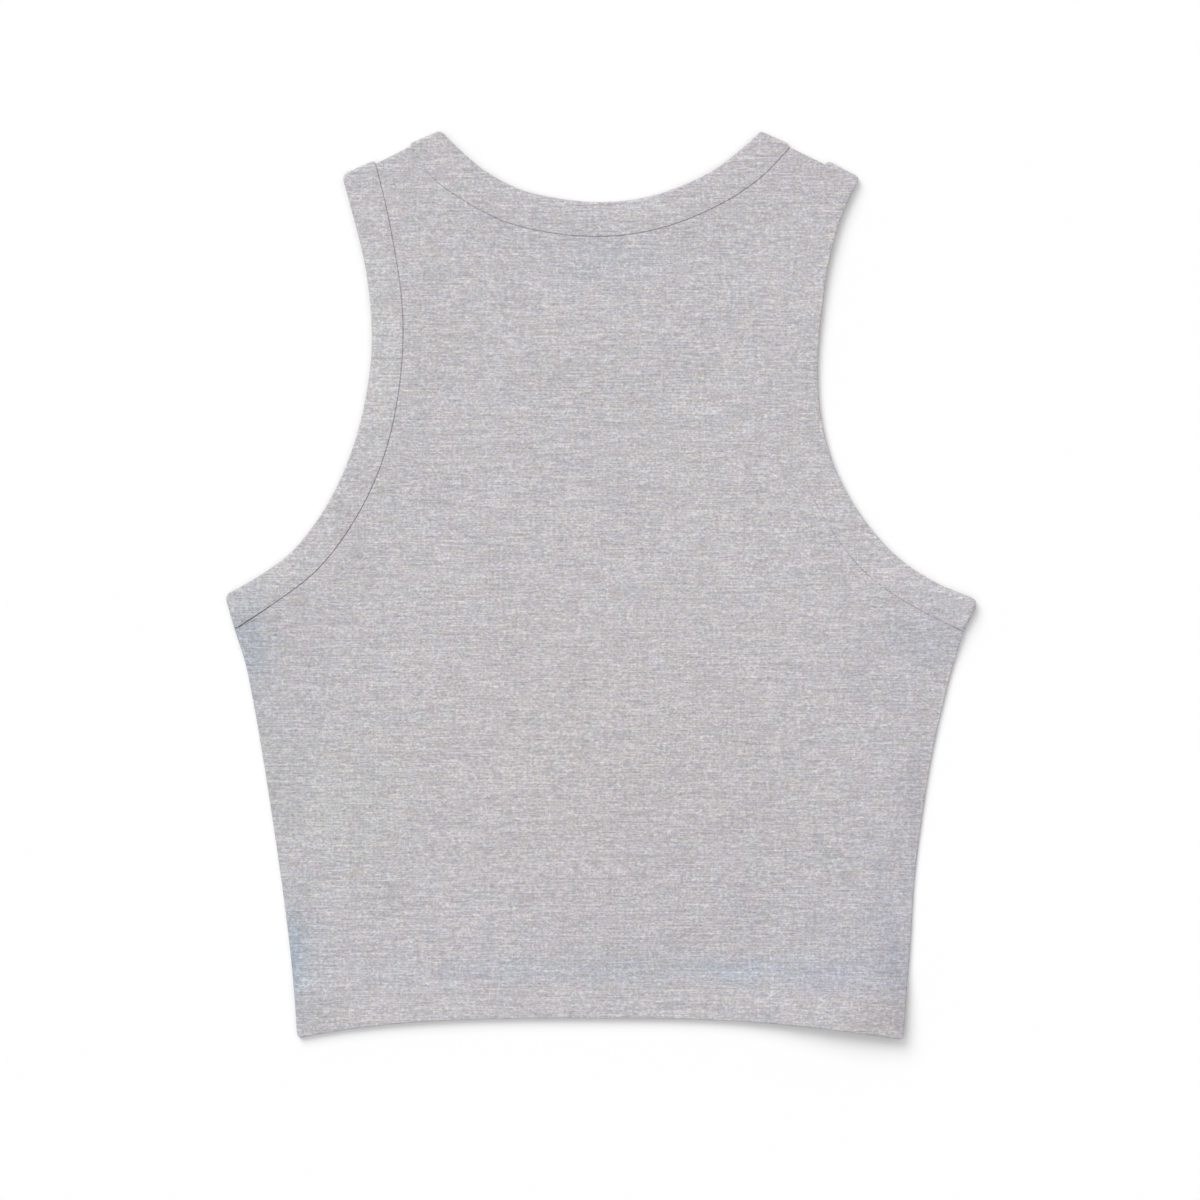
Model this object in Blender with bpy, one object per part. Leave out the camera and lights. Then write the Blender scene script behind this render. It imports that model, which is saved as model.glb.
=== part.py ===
"""A cropped tank top of heather jersey, laid flat on its front with its back facing up.

The garment lies in the XY plane, its hem towards -Y and its neck towards +Y. The front panel is the lower
ply, flat on z = 0, and the back panel is the upper ply. The neck and both armholes are bound with bands
folded double, which run over the folds at the shoulders and the underarms. The right side lies a little
drawn in, so each side has its own outline. Lengths are in millimetres until a mesh is made.
"""

from collections import namedtuple

import bmesh
import bpy
import numpy as np

MM = 0.001
GARMENT_GREY = (0.54, 0.53, 0.54, 1.0)
BAND_GREY = (0.51, 0.50, 0.52, 1.0)

# Cloth
PLY = 1.0  # thickness of one layer of jersey
BAND_THICKNESS = 1.9  # a strip folded double round the seam allowance
SEAM_GAP = 0.3  # between two pieces that are sewn together

# Heights of the laid plies above the surface
BAND_STACK = 2 * BAND_THICKNESS + SEAM_GAP
BAND_SPLIT = BAND_STACK / 2  # mid-height of the slit between a band's two plies
BODY_SPLIT = PLY + SEAM_GAP / 2
HEM_SPLIT = 2 * PLY + SEAM_GAP / 2
BACK_LOFT = 0.2  # how far the back panel lies clear of the front panel, over the seam gap
HEM_LOFT = 0.05  # the same where both hems are turned up
FRONT_BAND_LOFT = 0.1  # and over the front neck band
BACK_TOP = 2 * PLY + SEAM_GAP + BACK_LOFT
HEM_TOP = 4 * PLY + SEAM_GAP + HEM_LOFT
OVER_FRONT_BAND_TOP = BAND_THICKNESS + SEAM_GAP + PLY + FRONT_BAND_LOFT
SEAM_DROP = 0.15  # from a band's outer face to the panel's along their seam
SEAM_TOP = BAND_STACK - SEAM_DROP
NECK_SAG = 1.7  # how far the back neck band sinks where no front ply lies under it
NECK_SAG_HALF_WIDTH = 72.0

# Hem
HEM_CENTRE_Y = -219.4
HEM_DEPTH_CENTRE = 15.2
HEM_DEPTH_SIDE = 22.0
HEM_STEP = 0.6  # width of the step at the turned-up edge

# Shoulders and armholes
SHOULDER_STEP = 1.3  # the panels' shoulder seam lies this far inside the bands' folded ends
SHOULDER_CURL = BAND_SPLIT - SHOULDER_STEP  # how far a panel runs past the middle of the folds
ARMHOLE_INSET = 1.5  # the front armhole is cut this much deeper than the back one
ARM_CORNER = 2.6  # corner radius of an arm band at its folded ends
NECK_CORNER = 1.0

# A side seam from the hem's corner up, which ends at the arm band's last row
SidePoint = namedtuple("SidePoint", "x y")
LEFT_SEAM = (
    SidePoint(-154.5, -229.3),
    SidePoint(-155.5, -207.0),
    SidePoint(-158.4, -179.8),
    SidePoint(-162.5, -149.4),
    SidePoint(-166.9, -117.5),
    SidePoint(-171.7, -88.6),
    SidePoint(-176.7, -59.5),
    SidePoint(-180.6, -38.8),
)
RIGHT_SEAM = (
    SidePoint(152.6, -229.9),
    SidePoint(153.9, -207.0),
    SidePoint(156.0, -180.0),
    SidePoint(159.0, -149.4),
    SidePoint(162.9, -117.5),
    SidePoint(167.4, -88.6),
    SidePoint(172.8, -59.5),
    SidePoint(178.9, -38.0),
)

# A band's folded edge and its seam, one row for each section. An arm band starts at the shoulder fold.
BandRow = namedtuple("BandRow", "edge_x edge_y seam_x seam_y")
LEFT_ARM_BAND = (
    BandRow(-132.1, 207.7, -115.4, 214.9),
    BandRow(-126.2, 187.5, -109.3, 191.9),
    BandRow(-121.0, 167.0, -105.1, 170.2),
    BandRow(-117.6, 144.5, -101.5, 146.0),
    BandRow(-116.6, 122.0, -100.8, 122.0),
    BandRow(-119.0, 98.9, -103.2, 96.3),
    BandRow(-126.6, 68.5, -111.1, 63.1),
    BandRow(-140.8, 38.1, -127.3, 29.6),
    BandRow(-157.0, 17.6, -145.4, 6.6),
    BandRow(-173.5, 4.6, -165.3, -8.8),
    BandRow(-191.1, -5.3, -186.3, -22.0),
)
RIGHT_ARM_BAND = (
    BandRow(130.5, 206.1, 113.6, 214.8),
    BandRow(121.9, 188.5, 106.0, 194.4),
    BandRow(115.6, 167.0, 99.5, 170.2),
    BandRow(110.9, 138.0, 94.5, 139.2),
    BandRow(109.3, 109.0, 93.3, 109.2),
    BandRow(112.2, 83.0, 96.4, 80.0),
    BandRow(119.4, 57.0, 104.2, 50.5),
    BandRow(130.0, 37.8, 116.1, 28.0),
    BandRow(148.0, 16.2, 136.3, 3.8),
    BandRow(170.0, 1.0, 162.8, -13.6),
    BandRow(191.3, -8.1, 183.4, -23.7),
)
BACK_NECK_BAND = (
    BandRow(-81.1, 230.1, -97.2, 223.0),
    BandRow(-71.6, 220.2, -85.8, 206.4),
    BandRow(-60.5, 210.8, -70.8, 195.4),
    BandRow(-41.5, 200.6, -47.8, 183.7),
    BandRow(-20.5, 195.4, -23.3, 178.2),
    BandRow(0.0, 193.8, 0.0, 176.7),
    BandRow(20.5, 196.2, 23.6, 179.4),
    BandRow(41.5, 202.8, 47.4, 187.0),
    BandRow(59.5, 212.2, 69.1, 198.2),
    BandRow(71.0, 221.3, 82.9, 208.6),
    BandRow(80.0, 230.4, 95.8, 223.2),
)
# The front neck between its two ends, which are the back neck's, from the right shoulder to the centre
FRONT_NECK_HALF = (
    BandRow(79.6, 208.0, 95.8, 205.0),
    BandRow(74.6, 186.0, 90.6, 181.0),
    BandRow(66.0, 165.5, 80.6, 156.8),
    BandRow(50.5, 148.5, 60.5, 134.6),
    BandRow(27.5, 137.6, 31.6, 120.8),
    BandRow(0.0, 134.5, 0.0, 117.2),
)

# A half of the garment: its outline, how far the hem dips towards the side and how late it dips
Half = namedtuple("Half", "seam arm hem_drop hem_power")
LEFT = Half(LEFT_SEAM, LEFT_ARM_BAND, 9.9, 3.2)
RIGHT = Half(RIGHT_SEAM, RIGHT_ARM_BAND, 10.5, 2.5)

# Reach of the slopes beside thicker places
ARM_REACH = 24.0
NECK_REACH = 26.0
HEM_REACH = 16.0
HEM_BOW_REACH = 45.0
FRONT_BAND_REACH = 24.0
FRONT_BAND_HALF_WIDTH = 11.0

# Sections
ARM_CELLS = 22  # between a band's sections, which are the rows of the panel beside it too
BACK_NECK_CELLS = 18
FRONT_NECK_CELLS = 28
SIDE_ROWS = 8
HEM_STRIP_ROWS = 2
PANEL_COLUMNS = 11
CURL_ANGLES = np.radians([0.0, 35.0, 65.0, 90.0])
HEM_ANGLES = np.radians([70.0, 40.0, 0.0])
FOLD_ANGLES = np.radians([30.0, 60.0, 90.0, 120.0, 150.0])
LEAST_TURN = 0.1  # radius that is left inside a tight curl
DENSE = 400
WELD = 0.005

# A band's section: along from the seam (0) to the folded edge (1), inset from there, and height as a share
# of half the thickness
SectionPoint = namedtuple("SectionPoint", "along inset height")
BAND_SECTION = (
    SectionPoint(0, 0.0, -0.8),
    SectionPoint(0, 0.0, 0.8),
    SectionPoint(0, 0.2, 1.0),
    SectionPoint(0.5, 0.0, 1.0),
    SectionPoint(1, 0.95, 1.0),
    SectionPoint(1, 0.28, 0.7),
    SectionPoint(1, 0.0, 0.0),
    SectionPoint(1, 0.28, -0.7),
    SectionPoint(1, 0.95, -1.0),
    SectionPoint(0.5, 0.0, -1.0),
    SectionPoint(0, 0.2, -1.0),
)

Panel = namedtuple("Panel", "neck neck_cells arms is_back")


def clear_scene():
    """Removes every object that the scene starts with."""
    for obj in list(bpy.data.objects):
        bpy.data.objects.remove(obj, do_unlink=True)


def ease(t):
    """Smooth step from 0 at t = 0 to 1 at t = 1."""
    t = np.clip(t, 0.0, 1.0)
    return t * t * (3.0 - 2.0 * t)


def mix(start, end, share):
    return start * (1.0 - share) + end * share


def unit(vectors):
    return vectors / np.linalg.norm(vectors, axis=-1, keepdims=True)


def arc_lengths(points):
    """Length along a polyline at each of its points."""
    steps = np.linalg.norm(np.diff(points, axis=0), axis=1)
    return np.concatenate([[0.0], np.cumsum(steps)])


def smooth_curve(rows, cells):
    """Cubic Hermite curve through the rows, in even cells of chord length on each side of the middle row."""
    rows = np.array(rows, float)
    knots = arc_lengths(rows)
    slopes = np.gradient(rows, knots, axis=0)
    at = np.interp(np.linspace(0.0, 1.0, cells + 1), [0.0, 0.5, 1.0], [0.0, knots[len(rows) // 2], knots[-1]])
    i = np.clip(np.searchsorted(knots, at, side="right") - 1, 0, len(rows) - 2)
    span = (knots[i + 1] - knots[i])[:, None]
    t = (at - knots[i])[:, None] / span
    start = (2 * t**3 - 3 * t**2 + 1) * rows[i] + (t**3 - 2 * t**2 + t) * span * slopes[i]
    end = (3 * t**2 - 2 * t**3) * rows[i + 1] + (t**3 - t**2) * span * slopes[i + 1]
    return start + end


def along_path(path, distance):
    """Points of a polyline at these distances from its start."""
    lengths = arc_lengths(path)
    return np.stack([np.interp(distance, lengths, path[:, axis]) for axis in (0, 1)], axis=-1)


def distance_to(path, x, y):
    """Distance from each point to a polyline's densely spaced points."""
    return np.min(np.hypot(x[..., None] - path[:, 0], y[..., None] - path[:, 1]), axis=-1)


def fold_outward(row, inner_row):
    """Unit vector square to a band's folded end, pointing away from the rest of the band."""
    across = unit(row[:2] - row[2:])
    outward = np.array([-across[1], across[0]])
    return outward * np.sign(outward @ (row[:2] - inner_row[:2]))


def stations(rows, cells):
    """A band's sections from fold to fold, and the directions out of its two folds.

    The table ends on the silhouette, so its end rows are first drawn back to the middle of the fold.
    """
    rows = np.array(rows, float)
    starts, ends = fold_outward(rows[0], rows[1]), fold_outward(rows[-1], rows[-2])
    rows[0] -= np.tile(starts, 2) * BAND_SPLIT
    rows[-1] -= np.tile(ends, 2) * BAND_SPLIT
    return smooth_curve(rows, cells), starts, ends


def front_arm(rows):
    """The armhole's rows in the front ply, cut a little deeper between its two ends."""
    rows = np.array(rows, float)
    inward = unit(rows[:, 2:] - rows[:, :2])
    depth = ARMHOLE_INSET * np.sin(np.linspace(0.0, np.pi, len(rows)))[:, None]
    return rows + np.tile(inward * depth, 2)


def front_neck():
    """The front neck's rows from the left shoulder to the right one."""
    half = np.array(FRONT_NECK_HALF, float)
    mirrored = half * [-1.0, 1.0, -1.0, 1.0]
    return np.vstack([BACK_NECK_BAND[0], mirrored, half[-2::-1], BACK_NECK_BAND[-1]])


def neck_sag(x):
    """How far the back neck band and the panel beside it have sunk."""
    return NECK_SAG * ease(1.0 - np.abs(x) / NECK_SAG_HALF_WIDTH)


def corner_pull(distance, corner):
    """How far a folded end's corner is drawn in, as a quarter circle, at this distance from its end."""
    short = np.clip(corner - distance, 0.0, corner)
    return corner - np.sqrt(corner**2 - short**2)


def fold_stations(row, outward):
    """Sections round a folded end, from the upper ply to the lower one."""
    radius = (BAND_THICKNESS + SEAM_GAP) / 2
    sines, cosines = np.sin(FOLD_ANGLES)[:, None], np.cos(FOLD_ANGLES)[:, None]
    lines = row + np.tile(outward, 2) * radius * sines
    heights = BAND_SPLIT + radius * cosines[:, 0]
    normals = np.hstack([outward * sines, cosines])
    return lines, heights, normals, BAND_SPLIT * (1.0 - sines[:, 0])


def ply_stations(rows, heights, up):
    """Sections along one ply of a band, with their distance from the nearer folded end."""
    length = arc_lengths(rows[:, :2])
    from_end = np.minimum(length, length[-1] - length) + BAND_SPLIT
    normals = np.tile([0.0, 0.0, up], (len(rows), 1))
    return rows, heights, normals, from_end


def band_mesh(upper, lower, sag, corner):
    """A band folded double as a closed ring: its upper ply, a fold, its lower ply back and a fold."""
    top, start_out, end_out = upper
    under = lower[0][::-1]
    top_height = BAND_SPLIT + (BAND_THICKNESS + SEAM_GAP) / 2 - sag
    parts = (
        ply_stations(top, top_height, 1.0),
        fold_stations(top[-1], end_out),
        ply_stations(under, np.full(len(under), BAND_THICKNESS / 2), -1.0),
        tuple(values[::-1] for values in fold_stations(top[0], start_out)),
    )
    lines, heights, normals, from_end = (np.concatenate(values) for values in zip(*parts))
    edge, seam = lines[:, :2], lines[:, 2:]
    across = unit(edge - seam)
    width = np.linalg.norm(edge - seam, axis=1) - corner_pull(from_end, corner) - SEAM_GAP / 2
    section = np.array(BAND_SECTION)
    inset = section[:, 1] * np.where(section[:, 0] > 0.5, -1.0, 1.0)
    reach = width[:, None] * section[:, 0] + inset + SEAM_GAP / 2
    plan = seam[:, None] + across[:, None] * reach[..., None]
    centre = np.concatenate([plan, np.broadcast_to(heights[:, None, None], plan.shape[:2] + (1,))], axis=2)
    points = centre + normals[:, None] * (section[:, 2] * BAND_THICKNESS / 2)[None, :, None]
    return points.reshape(-1, 3), ring_faces(*points.shape[:2])


def ring_faces(sections, around):
    """Quads of a closed ring of closed sections."""
    section, step = np.meshgrid(np.arange(sections), np.arange(around), indexing="ij")
    following, beside = (section + 1) % sections, (step + 1) % around
    corners = [section * around + step, section * around + beside]
    corners += [following * around + beside, following * around + step]
    return np.stack(corners, axis=-1).reshape(-1, 4)


def seam_points(rows, cells):
    """A panel's edge along a band, half a seam gap off the seam, and the directions out of the folds."""
    rows, starts, ends = stations(rows, cells)
    return rows[:, 2:] + unit(rows[:, 2:] - rows[:, :2]) * SEAM_GAP / 2, starts, ends


def side_path(half):
    """The side seam from the hem to just under the arm band's folded end."""
    underarm = np.array(half.arm[-1])
    path = smooth_curve([*half.seam, underarm[2:]], DENSE)
    path[-1] += unit(underarm[2:] - underarm[:2]) * SEAM_GAP / 2
    return path


def hem_distances(depth):
    """Distances above the hem's lower edge: round its fold, up the turned-up strip and past its step."""
    rounding = (np.sin(HEM_ANGLES[0]) - np.sin(HEM_ANGLES)) * PLY
    strip = np.linspace(rounding[-1], depth, HEM_STRIP_ROWS + 1)
    return np.concatenate([rounding[:-1], strip, [depth + HEM_STEP]])


def row_ends(panel, half, is_outer):
    """The two ends of each row of a half panel, from the hem up, and which rows end on the side seam.

    The inner end runs up the centre line and the neck seam, the outer one up the side and the arm seam. Both
    end in the few rows of the curl over the shoulder.
    """
    neck, *neck_outward = seam_points(panel.neck, panel.neck_cells)
    arm, arm_out, _ = seam_points(panel.arms[half is RIGHT], ARM_CELLS)
    middle = panel.neck_cells // 2
    neck = neck[middle:] if half is RIGHT else neck[middle::-1]
    arm = arm[::-1]
    past_fold = SHOULDER_CURL - curl(SHOULDER_CURL, PLY, is_outer)[1:, None]
    neck_top = neck[-1] + neck_outward[half is RIGHT] * past_fold
    arm_top = arm[-1] + arm_out * past_fold
    path = side_path(half)
    side = hem_distances(HEM_DEPTH_SIDE)
    side = np.concatenate([side, np.linspace(side[-1], arc_lengths(path)[-1], SIDE_ROWS + 1)[1:]])
    centre = hem_distances(HEM_DEPTH_CENTRE) + HEM_CENTRE_Y
    rows_to_neck = SIDE_ROWS + len(arm) - len(neck)
    centre = np.concatenate([centre, np.linspace(centre[-1], neck[0, 1], rows_to_neck + 2)[1:-1]])
    inner = np.vstack([np.stack([np.zeros_like(centre), centre], axis=1), neck, neck_top])
    outer = np.vstack([along_path(path, side), arm, arm_top])
    return inner, outer, (np.arange(len(outer)) < len(side))[:, None]


def side_split(half, y):
    """Height of the slit between the plies along the side seam: higher at the hem and by the underarm."""
    turned_up = half.seam[0].y + HEM_DEPTH_SIDE
    split = mix(HEM_SPLIT, BODY_SPLIT, ease((y - turned_up) / HEM_REACH))
    return mix(split, BAND_SPLIT, ease(1.0 + (y - half.arm[-1].seam_y) / ARM_REACH))


def over_hem(half, x, y):
    """1 over the turned-up hem, easing to 0 above it."""
    share = np.clip(np.abs(x / half.seam[0].x), 0.0, 1.0)
    edge = mix(HEM_CENTRE_Y + HEM_DEPTH_CENTRE, half.seam[0].y + HEM_DEPTH_SIDE, share**half.hem_power)
    return 1.0 - ease((y - edge) / HEM_REACH)


def near(path, x, y, reach):
    """1 on a path, easing to 0 at this reach from it."""
    return 1.0 - ease(distance_to(path, x, y) / reach)


def outer_height(panel, half, x, y):
    """Height of a panel's outer face before its edges curl.

    The front lies flat on the surface. The back is a low sheet over it, which rises over the front neck
    band and the turned-up hem and meets the bands at their own height.
    """
    if not panel.is_back:
        return np.zeros_like(x)
    front_band = smooth_curve(front_neck(), DENSE)
    past_band = distance_to((front_band[:, :2] + front_band[:, 2:]) / 2, x, y) - FRONT_BAND_HALF_WIDTH
    high = mix(OVER_FRONT_BAND_TOP, BACK_TOP, ease(past_band / FRONT_BAND_REACH))
    high = mix(high, HEM_TOP, over_hem(half, x, y))
    arm_seam = smooth_curve(seam_points(half.arm, ARM_CELLS)[0], DENSE)
    high = mix(high, SEAM_TOP, near(arm_seam, x, y, ARM_REACH))
    neck_seam = smooth_curve(seam_points(panel.neck, panel.neck_cells)[0], DENSE)
    return mix(high, SEAM_TOP - neck_sag(x), near(neck_seam, x, y, NECK_REACH))


def curl(radius, wall, is_outer):
    """Distances from the silhouette of a face that turns down to the slit, the inner one a wall in."""
    turned = radius if is_outer else np.maximum(radius - wall, LEAST_TURN)
    return radius - turned * np.sin(CURL_ANGLES)


def edge_cosines(count, angles, at_start):
    """Cosines of a run of angles that are 0 except at one end."""
    flat = np.zeros(count - len(angles))
    return np.cos(np.concatenate([angles, flat] if at_start else [flat, angles]))


def panel_face(panel, half, is_outer):
    """Points of one face of half a panel: rows from the hem up, each of columns from the centre out.

    A row runs straight from its inner end to its outer end, and bows down near the hem. The face curls over
    the side and the shoulder to meet the other ply, and along the neck and the armhole it ends square.
    """
    up = 1.0 if panel.is_back else -1.0
    starts, ends, on_side = row_ends(panel, half, is_outer)
    in_hem = np.arange(len(ends)) < len(HEM_ANGLES) + HEM_STRIP_ROWS
    wall = np.where(in_hem, 2 * PLY, PLY)[:, None]
    split = side_split(half, ends[:, 1])[:, None]
    radius = np.abs(outer_height(panel, half, *ends.T)[:, None] - split)
    curled = np.where(on_side, curl(radius, wall, is_outer), curl(radius, 0.0, True))
    length = np.linalg.norm(ends - starts, axis=1)[:, None]
    share = np.arange(PANEL_COLUMNS) / PANEL_COLUMNS * (1.0 - radius / length)
    share = np.hstack([share, 1.0 - curled / length])
    plan = mix(starts[:, None], ends[:, None], share[..., None])
    bow = half.hem_drop * (share - share**half.hem_power)
    x, y = plan[..., 0], plan[..., 1] + bow * (1.0 - ease((starts[:, 1:] - HEM_CENTRE_Y) / HEM_BOW_REACH))
    outside = outer_height(panel, half, x, y)
    high = outside if is_outer else outside - up * wall
    rows, columns = x.shape
    high = mix(outside - up * wall / 2, high, edge_cosines(rows, HEM_ANGLES, True)[:, None])
    on_curl = np.where(on_side, edge_cosines(columns, CURL_ANGLES, False), 1.0)
    high = mix(split + up * SEAM_GAP / 2, high, on_curl)
    high = mix(BAND_SPLIT + up * SEAM_GAP / 2, high, edge_cosines(rows, CURL_ANGLES, False)[:, None])
    return np.stack([x, y, high], axis=-1)


def half_panel(panel, half):
    """Half of a panel as a closed wall, open only on the centre line."""
    outside, inside = panel_face(panel, half, True), panel_face(panel, half, False)
    rows, columns = outside.shape[:2]
    grid = np.arange(rows * columns).reshape(rows, columns)
    corners = [grid[:-1, :-1], grid[:-1, 1:], grid[1:, 1:], grid[1:, :-1]]
    face = np.stack(corners, axis=-1).reshape(-1, 4)
    neck_row = np.flatnonzero(outside[:, 0, 0] == 0.0)[-1]
    rim = np.concatenate([grid[0], grid[1:, -1], grid[-1, -2::-1], grid[-2 : neck_row - 1 : -1, 0]])
    side = np.stack([rim[:-1], rim[1:], rim[1:] + grid.size, rim[:-1] + grid.size], axis=-1)
    points = np.concatenate([outside.reshape(-1, 3), inside.reshape(-1, 3)])
    return points, facing_out(points, np.concatenate([face, face[:, ::-1] + grid.size, side[:, ::-1]]))


def facing_out(points, faces):
    """The faces, turned round if the volume that they enclose comes out negative."""
    first, second, third, fourth = (points[faces[:, corner]] for corner in range(4))
    volume = np.sum(first * (np.cross(second, third) + np.cross(third, fourth)))
    return faces if volume > 0 else faces[:, ::-1]


def add_material(obj, colour):
    """Jersey: matt, with no metallic part."""
    material = bpy.data.materials.new(obj.name + "_jersey")
    material.use_nodes = True
    shader = material.node_tree.nodes["Principled BSDF"]
    shader.inputs["Base Color"].default_value = colour
    shader.inputs["Roughness"].default_value = 0.9
    shader.inputs["Metallic"].default_value = 0.0
    obj.data.materials.append(material)


def add_object(name, points, faces, colour):
    """A named object from points in millimetres, with coincident points welded."""
    mesh = bpy.data.meshes.new(name)
    mesh.from_pydata((points * MM).tolist(), [], faces.tolist())
    welded = bmesh.new()
    welded.from_mesh(mesh)
    bmesh.ops.remove_doubles(welded, verts=welded.verts, dist=WELD * MM)
    welded.to_mesh(mesh)
    welded.free()
    mesh.shade_smooth()
    obj = bpy.data.objects.new(name, mesh)
    bpy.context.scene.collection.objects.link(obj)
    add_material(obj, colour)


def add_panel(name, panel):
    """A panel from its two halves, which the weld joins along the centre line."""
    (left, left_faces), (right, right_faces) = half_panel(panel, LEFT), half_panel(panel, RIGHT)
    faces = np.concatenate([left_faces, right_faces + len(left)])
    add_object(name, np.concatenate([left, right]), faces, GARMENT_GREY)


def add_neck_band():
    upper, lower = stations(BACK_NECK_BAND, BACK_NECK_CELLS), stations(front_neck(), FRONT_NECK_CELLS)
    points, faces = band_mesh(upper, lower, neck_sag(upper[0][:, 2]), NECK_CORNER)
    add_object("neck_band", points, facing_out(points, faces), BAND_GREY)


def add_arm_band(name, half):
    upper, lower = stations(half.arm, ARM_CELLS), stations(front_arm(half.arm), ARM_CELLS)
    points, faces = band_mesh(upper, lower, np.zeros(ARM_CELLS + 1), ARM_CORNER)
    add_object(name, points, facing_out(points, faces), BAND_GREY)


def main():
    clear_scene()
    back_arms = (LEFT.arm, RIGHT.arm)
    front_arms = (front_arm(LEFT.arm), front_arm(RIGHT.arm))
    add_panel("back_panel", Panel(BACK_NECK_BAND, BACK_NECK_CELLS, back_arms, True))
    add_panel("front_panel", Panel(front_neck(), FRONT_NECK_CELLS, front_arms, False))
    add_neck_band()
    add_arm_band("arm_band_left", LEFT)
    add_arm_band("arm_band_right", RIGHT)


main()
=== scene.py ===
"""A cropped tank top of heather jersey, laid flat on its front with its back facing up.

Each cut piece is a closed shell of knitted cloth, as thin as the real one, that stands for its solid in the
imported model. The shells follow the solids' outlines within a millimetre, with finer rows, rolled seams, a
sewn hem and the soft ripples of cloth that lies loose. Lengths are in millimetres until a mesh is made.
"""

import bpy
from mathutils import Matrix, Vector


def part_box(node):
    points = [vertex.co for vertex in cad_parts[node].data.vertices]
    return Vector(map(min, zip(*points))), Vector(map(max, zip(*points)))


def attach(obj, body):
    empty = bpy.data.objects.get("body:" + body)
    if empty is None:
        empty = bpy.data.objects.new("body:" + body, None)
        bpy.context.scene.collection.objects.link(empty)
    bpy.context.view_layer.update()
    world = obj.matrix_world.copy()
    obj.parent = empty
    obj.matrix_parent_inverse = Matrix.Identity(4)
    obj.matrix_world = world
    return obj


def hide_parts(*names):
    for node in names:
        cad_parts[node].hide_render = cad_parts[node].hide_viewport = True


bl_info = {
    "name": "Cropped Tank Top",
    "version": (1, 0, 0),
    "blender": (4, 5, 0),
    "location": "3D View > Sidebar > Tank Top",
    "description": "Builds a cropped tank top of heather jersey, laid flat, piece by piece",
    "category": "Object",
}

from collections import namedtuple
from types import SimpleNamespace

import bmesh
import bpy
import numpy as np
from mathutils import Vector

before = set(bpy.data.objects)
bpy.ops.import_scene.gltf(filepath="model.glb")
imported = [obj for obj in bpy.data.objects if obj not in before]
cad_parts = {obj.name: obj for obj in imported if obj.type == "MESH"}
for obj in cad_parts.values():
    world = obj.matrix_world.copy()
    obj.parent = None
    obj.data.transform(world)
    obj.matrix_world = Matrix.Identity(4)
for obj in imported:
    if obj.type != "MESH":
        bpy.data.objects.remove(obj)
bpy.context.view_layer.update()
MM = 0.001

# Heights of the laid plies above the surface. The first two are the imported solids' own.
BAND_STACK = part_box("arm_band_left")[1].z / MM
HEM_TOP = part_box("back_panel")[1].z / MM
BAND_THICKNESS = 1.9  # a strip folded double round the seam allowance
FOLD_GAP = BAND_STACK - 2 * BAND_THICKNESS  # between a band's two plies
BAND_SPLIT = BAND_STACK / 2  # a split is the middle of the slit between the plies
BODY_SPLIT = 1.15
HEM_SPLIT = 2.15
BACK_TOP = 2.5
OVER_FRONT_BAND_TOP = 3.3
SEAM_TOP = BAND_STACK - 0.15
NECK_SAG = 1.7  # how far the back neck band sinks where no front ply lies under it
NECK_SAG_HALF_WIDTH = 72.0

# Hem
HEM_CENTRE_Y = -219.4
HEM_DEPTH_CENTRE = 15.2
HEM_DEPTH_SIDE = 22.0
HEM_STEP = 0.6  # over which the turned-up edge steps down to one layer

# Shoulders and armholes
SHOULDER_CURL = BAND_SPLIT - 1.3  # how far a panel runs past the middle of the bands' folds
SHOULDER_INSET_REACH = 9.0  # how far along the arm seam a slipped fold draws the panel back
ARMHOLE_INSET = 1.5  # how much deeper the front's armholes are

# How round the four corners of a band's two folded ends are
Corners = namedtuple("Corners", "edge_start edge_end seam_start seam_end")
LEFT_ARM_CORNERS = Corners(3.4, 2.9, 0.8, 0.4)
RIGHT_ARM_CORNERS = Corners(1.3, 4.4, 3.2, 0.6)
NECK_CORNERS = Corners(2.2, 1.4, 1.8, 2.2)

# Reach of the slopes beside thicker places
ARM_REACH = 24.0
NECK_REACH = 26.0
HEM_REACH = 16.0
HEM_BOW_REACH = 45.0
FRONT_BAND_REACH = 24.0
FRONT_BAND_HALF_WIDTH = 11.0


def table(kind, *rows):
    """Rows of numbers as rows of one kind, whose numbers have names."""
    return tuple(kind(*row) for row in rows)


# A side seam from the hem's corner up, which ends at the arm band's last row
SidePoint = namedtuple("SidePoint", "x y")
LEFT_SEAM = table(
    SidePoint,
    (-154.5, -229.3),
    (-156.0, -207.0),
    (-158.7, -179.8),
    (-162.6, -149.4),
    (-167.2, -117.5),
    (-171.7, -88.6),
    (-176.7, -59.5),
    (-181.0, -38.8),
)
RIGHT_SEAM = table(
    SidePoint,
    (152.6, -229.9),
    (154.3, -207.0),
    (156.6, -180.0),
    (158.5, -149.4),
    (162.4, -117.5),
    (166.9, -88.6),
    (173.2, -59.5),
    (178.9, -38.0),
)

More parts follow.
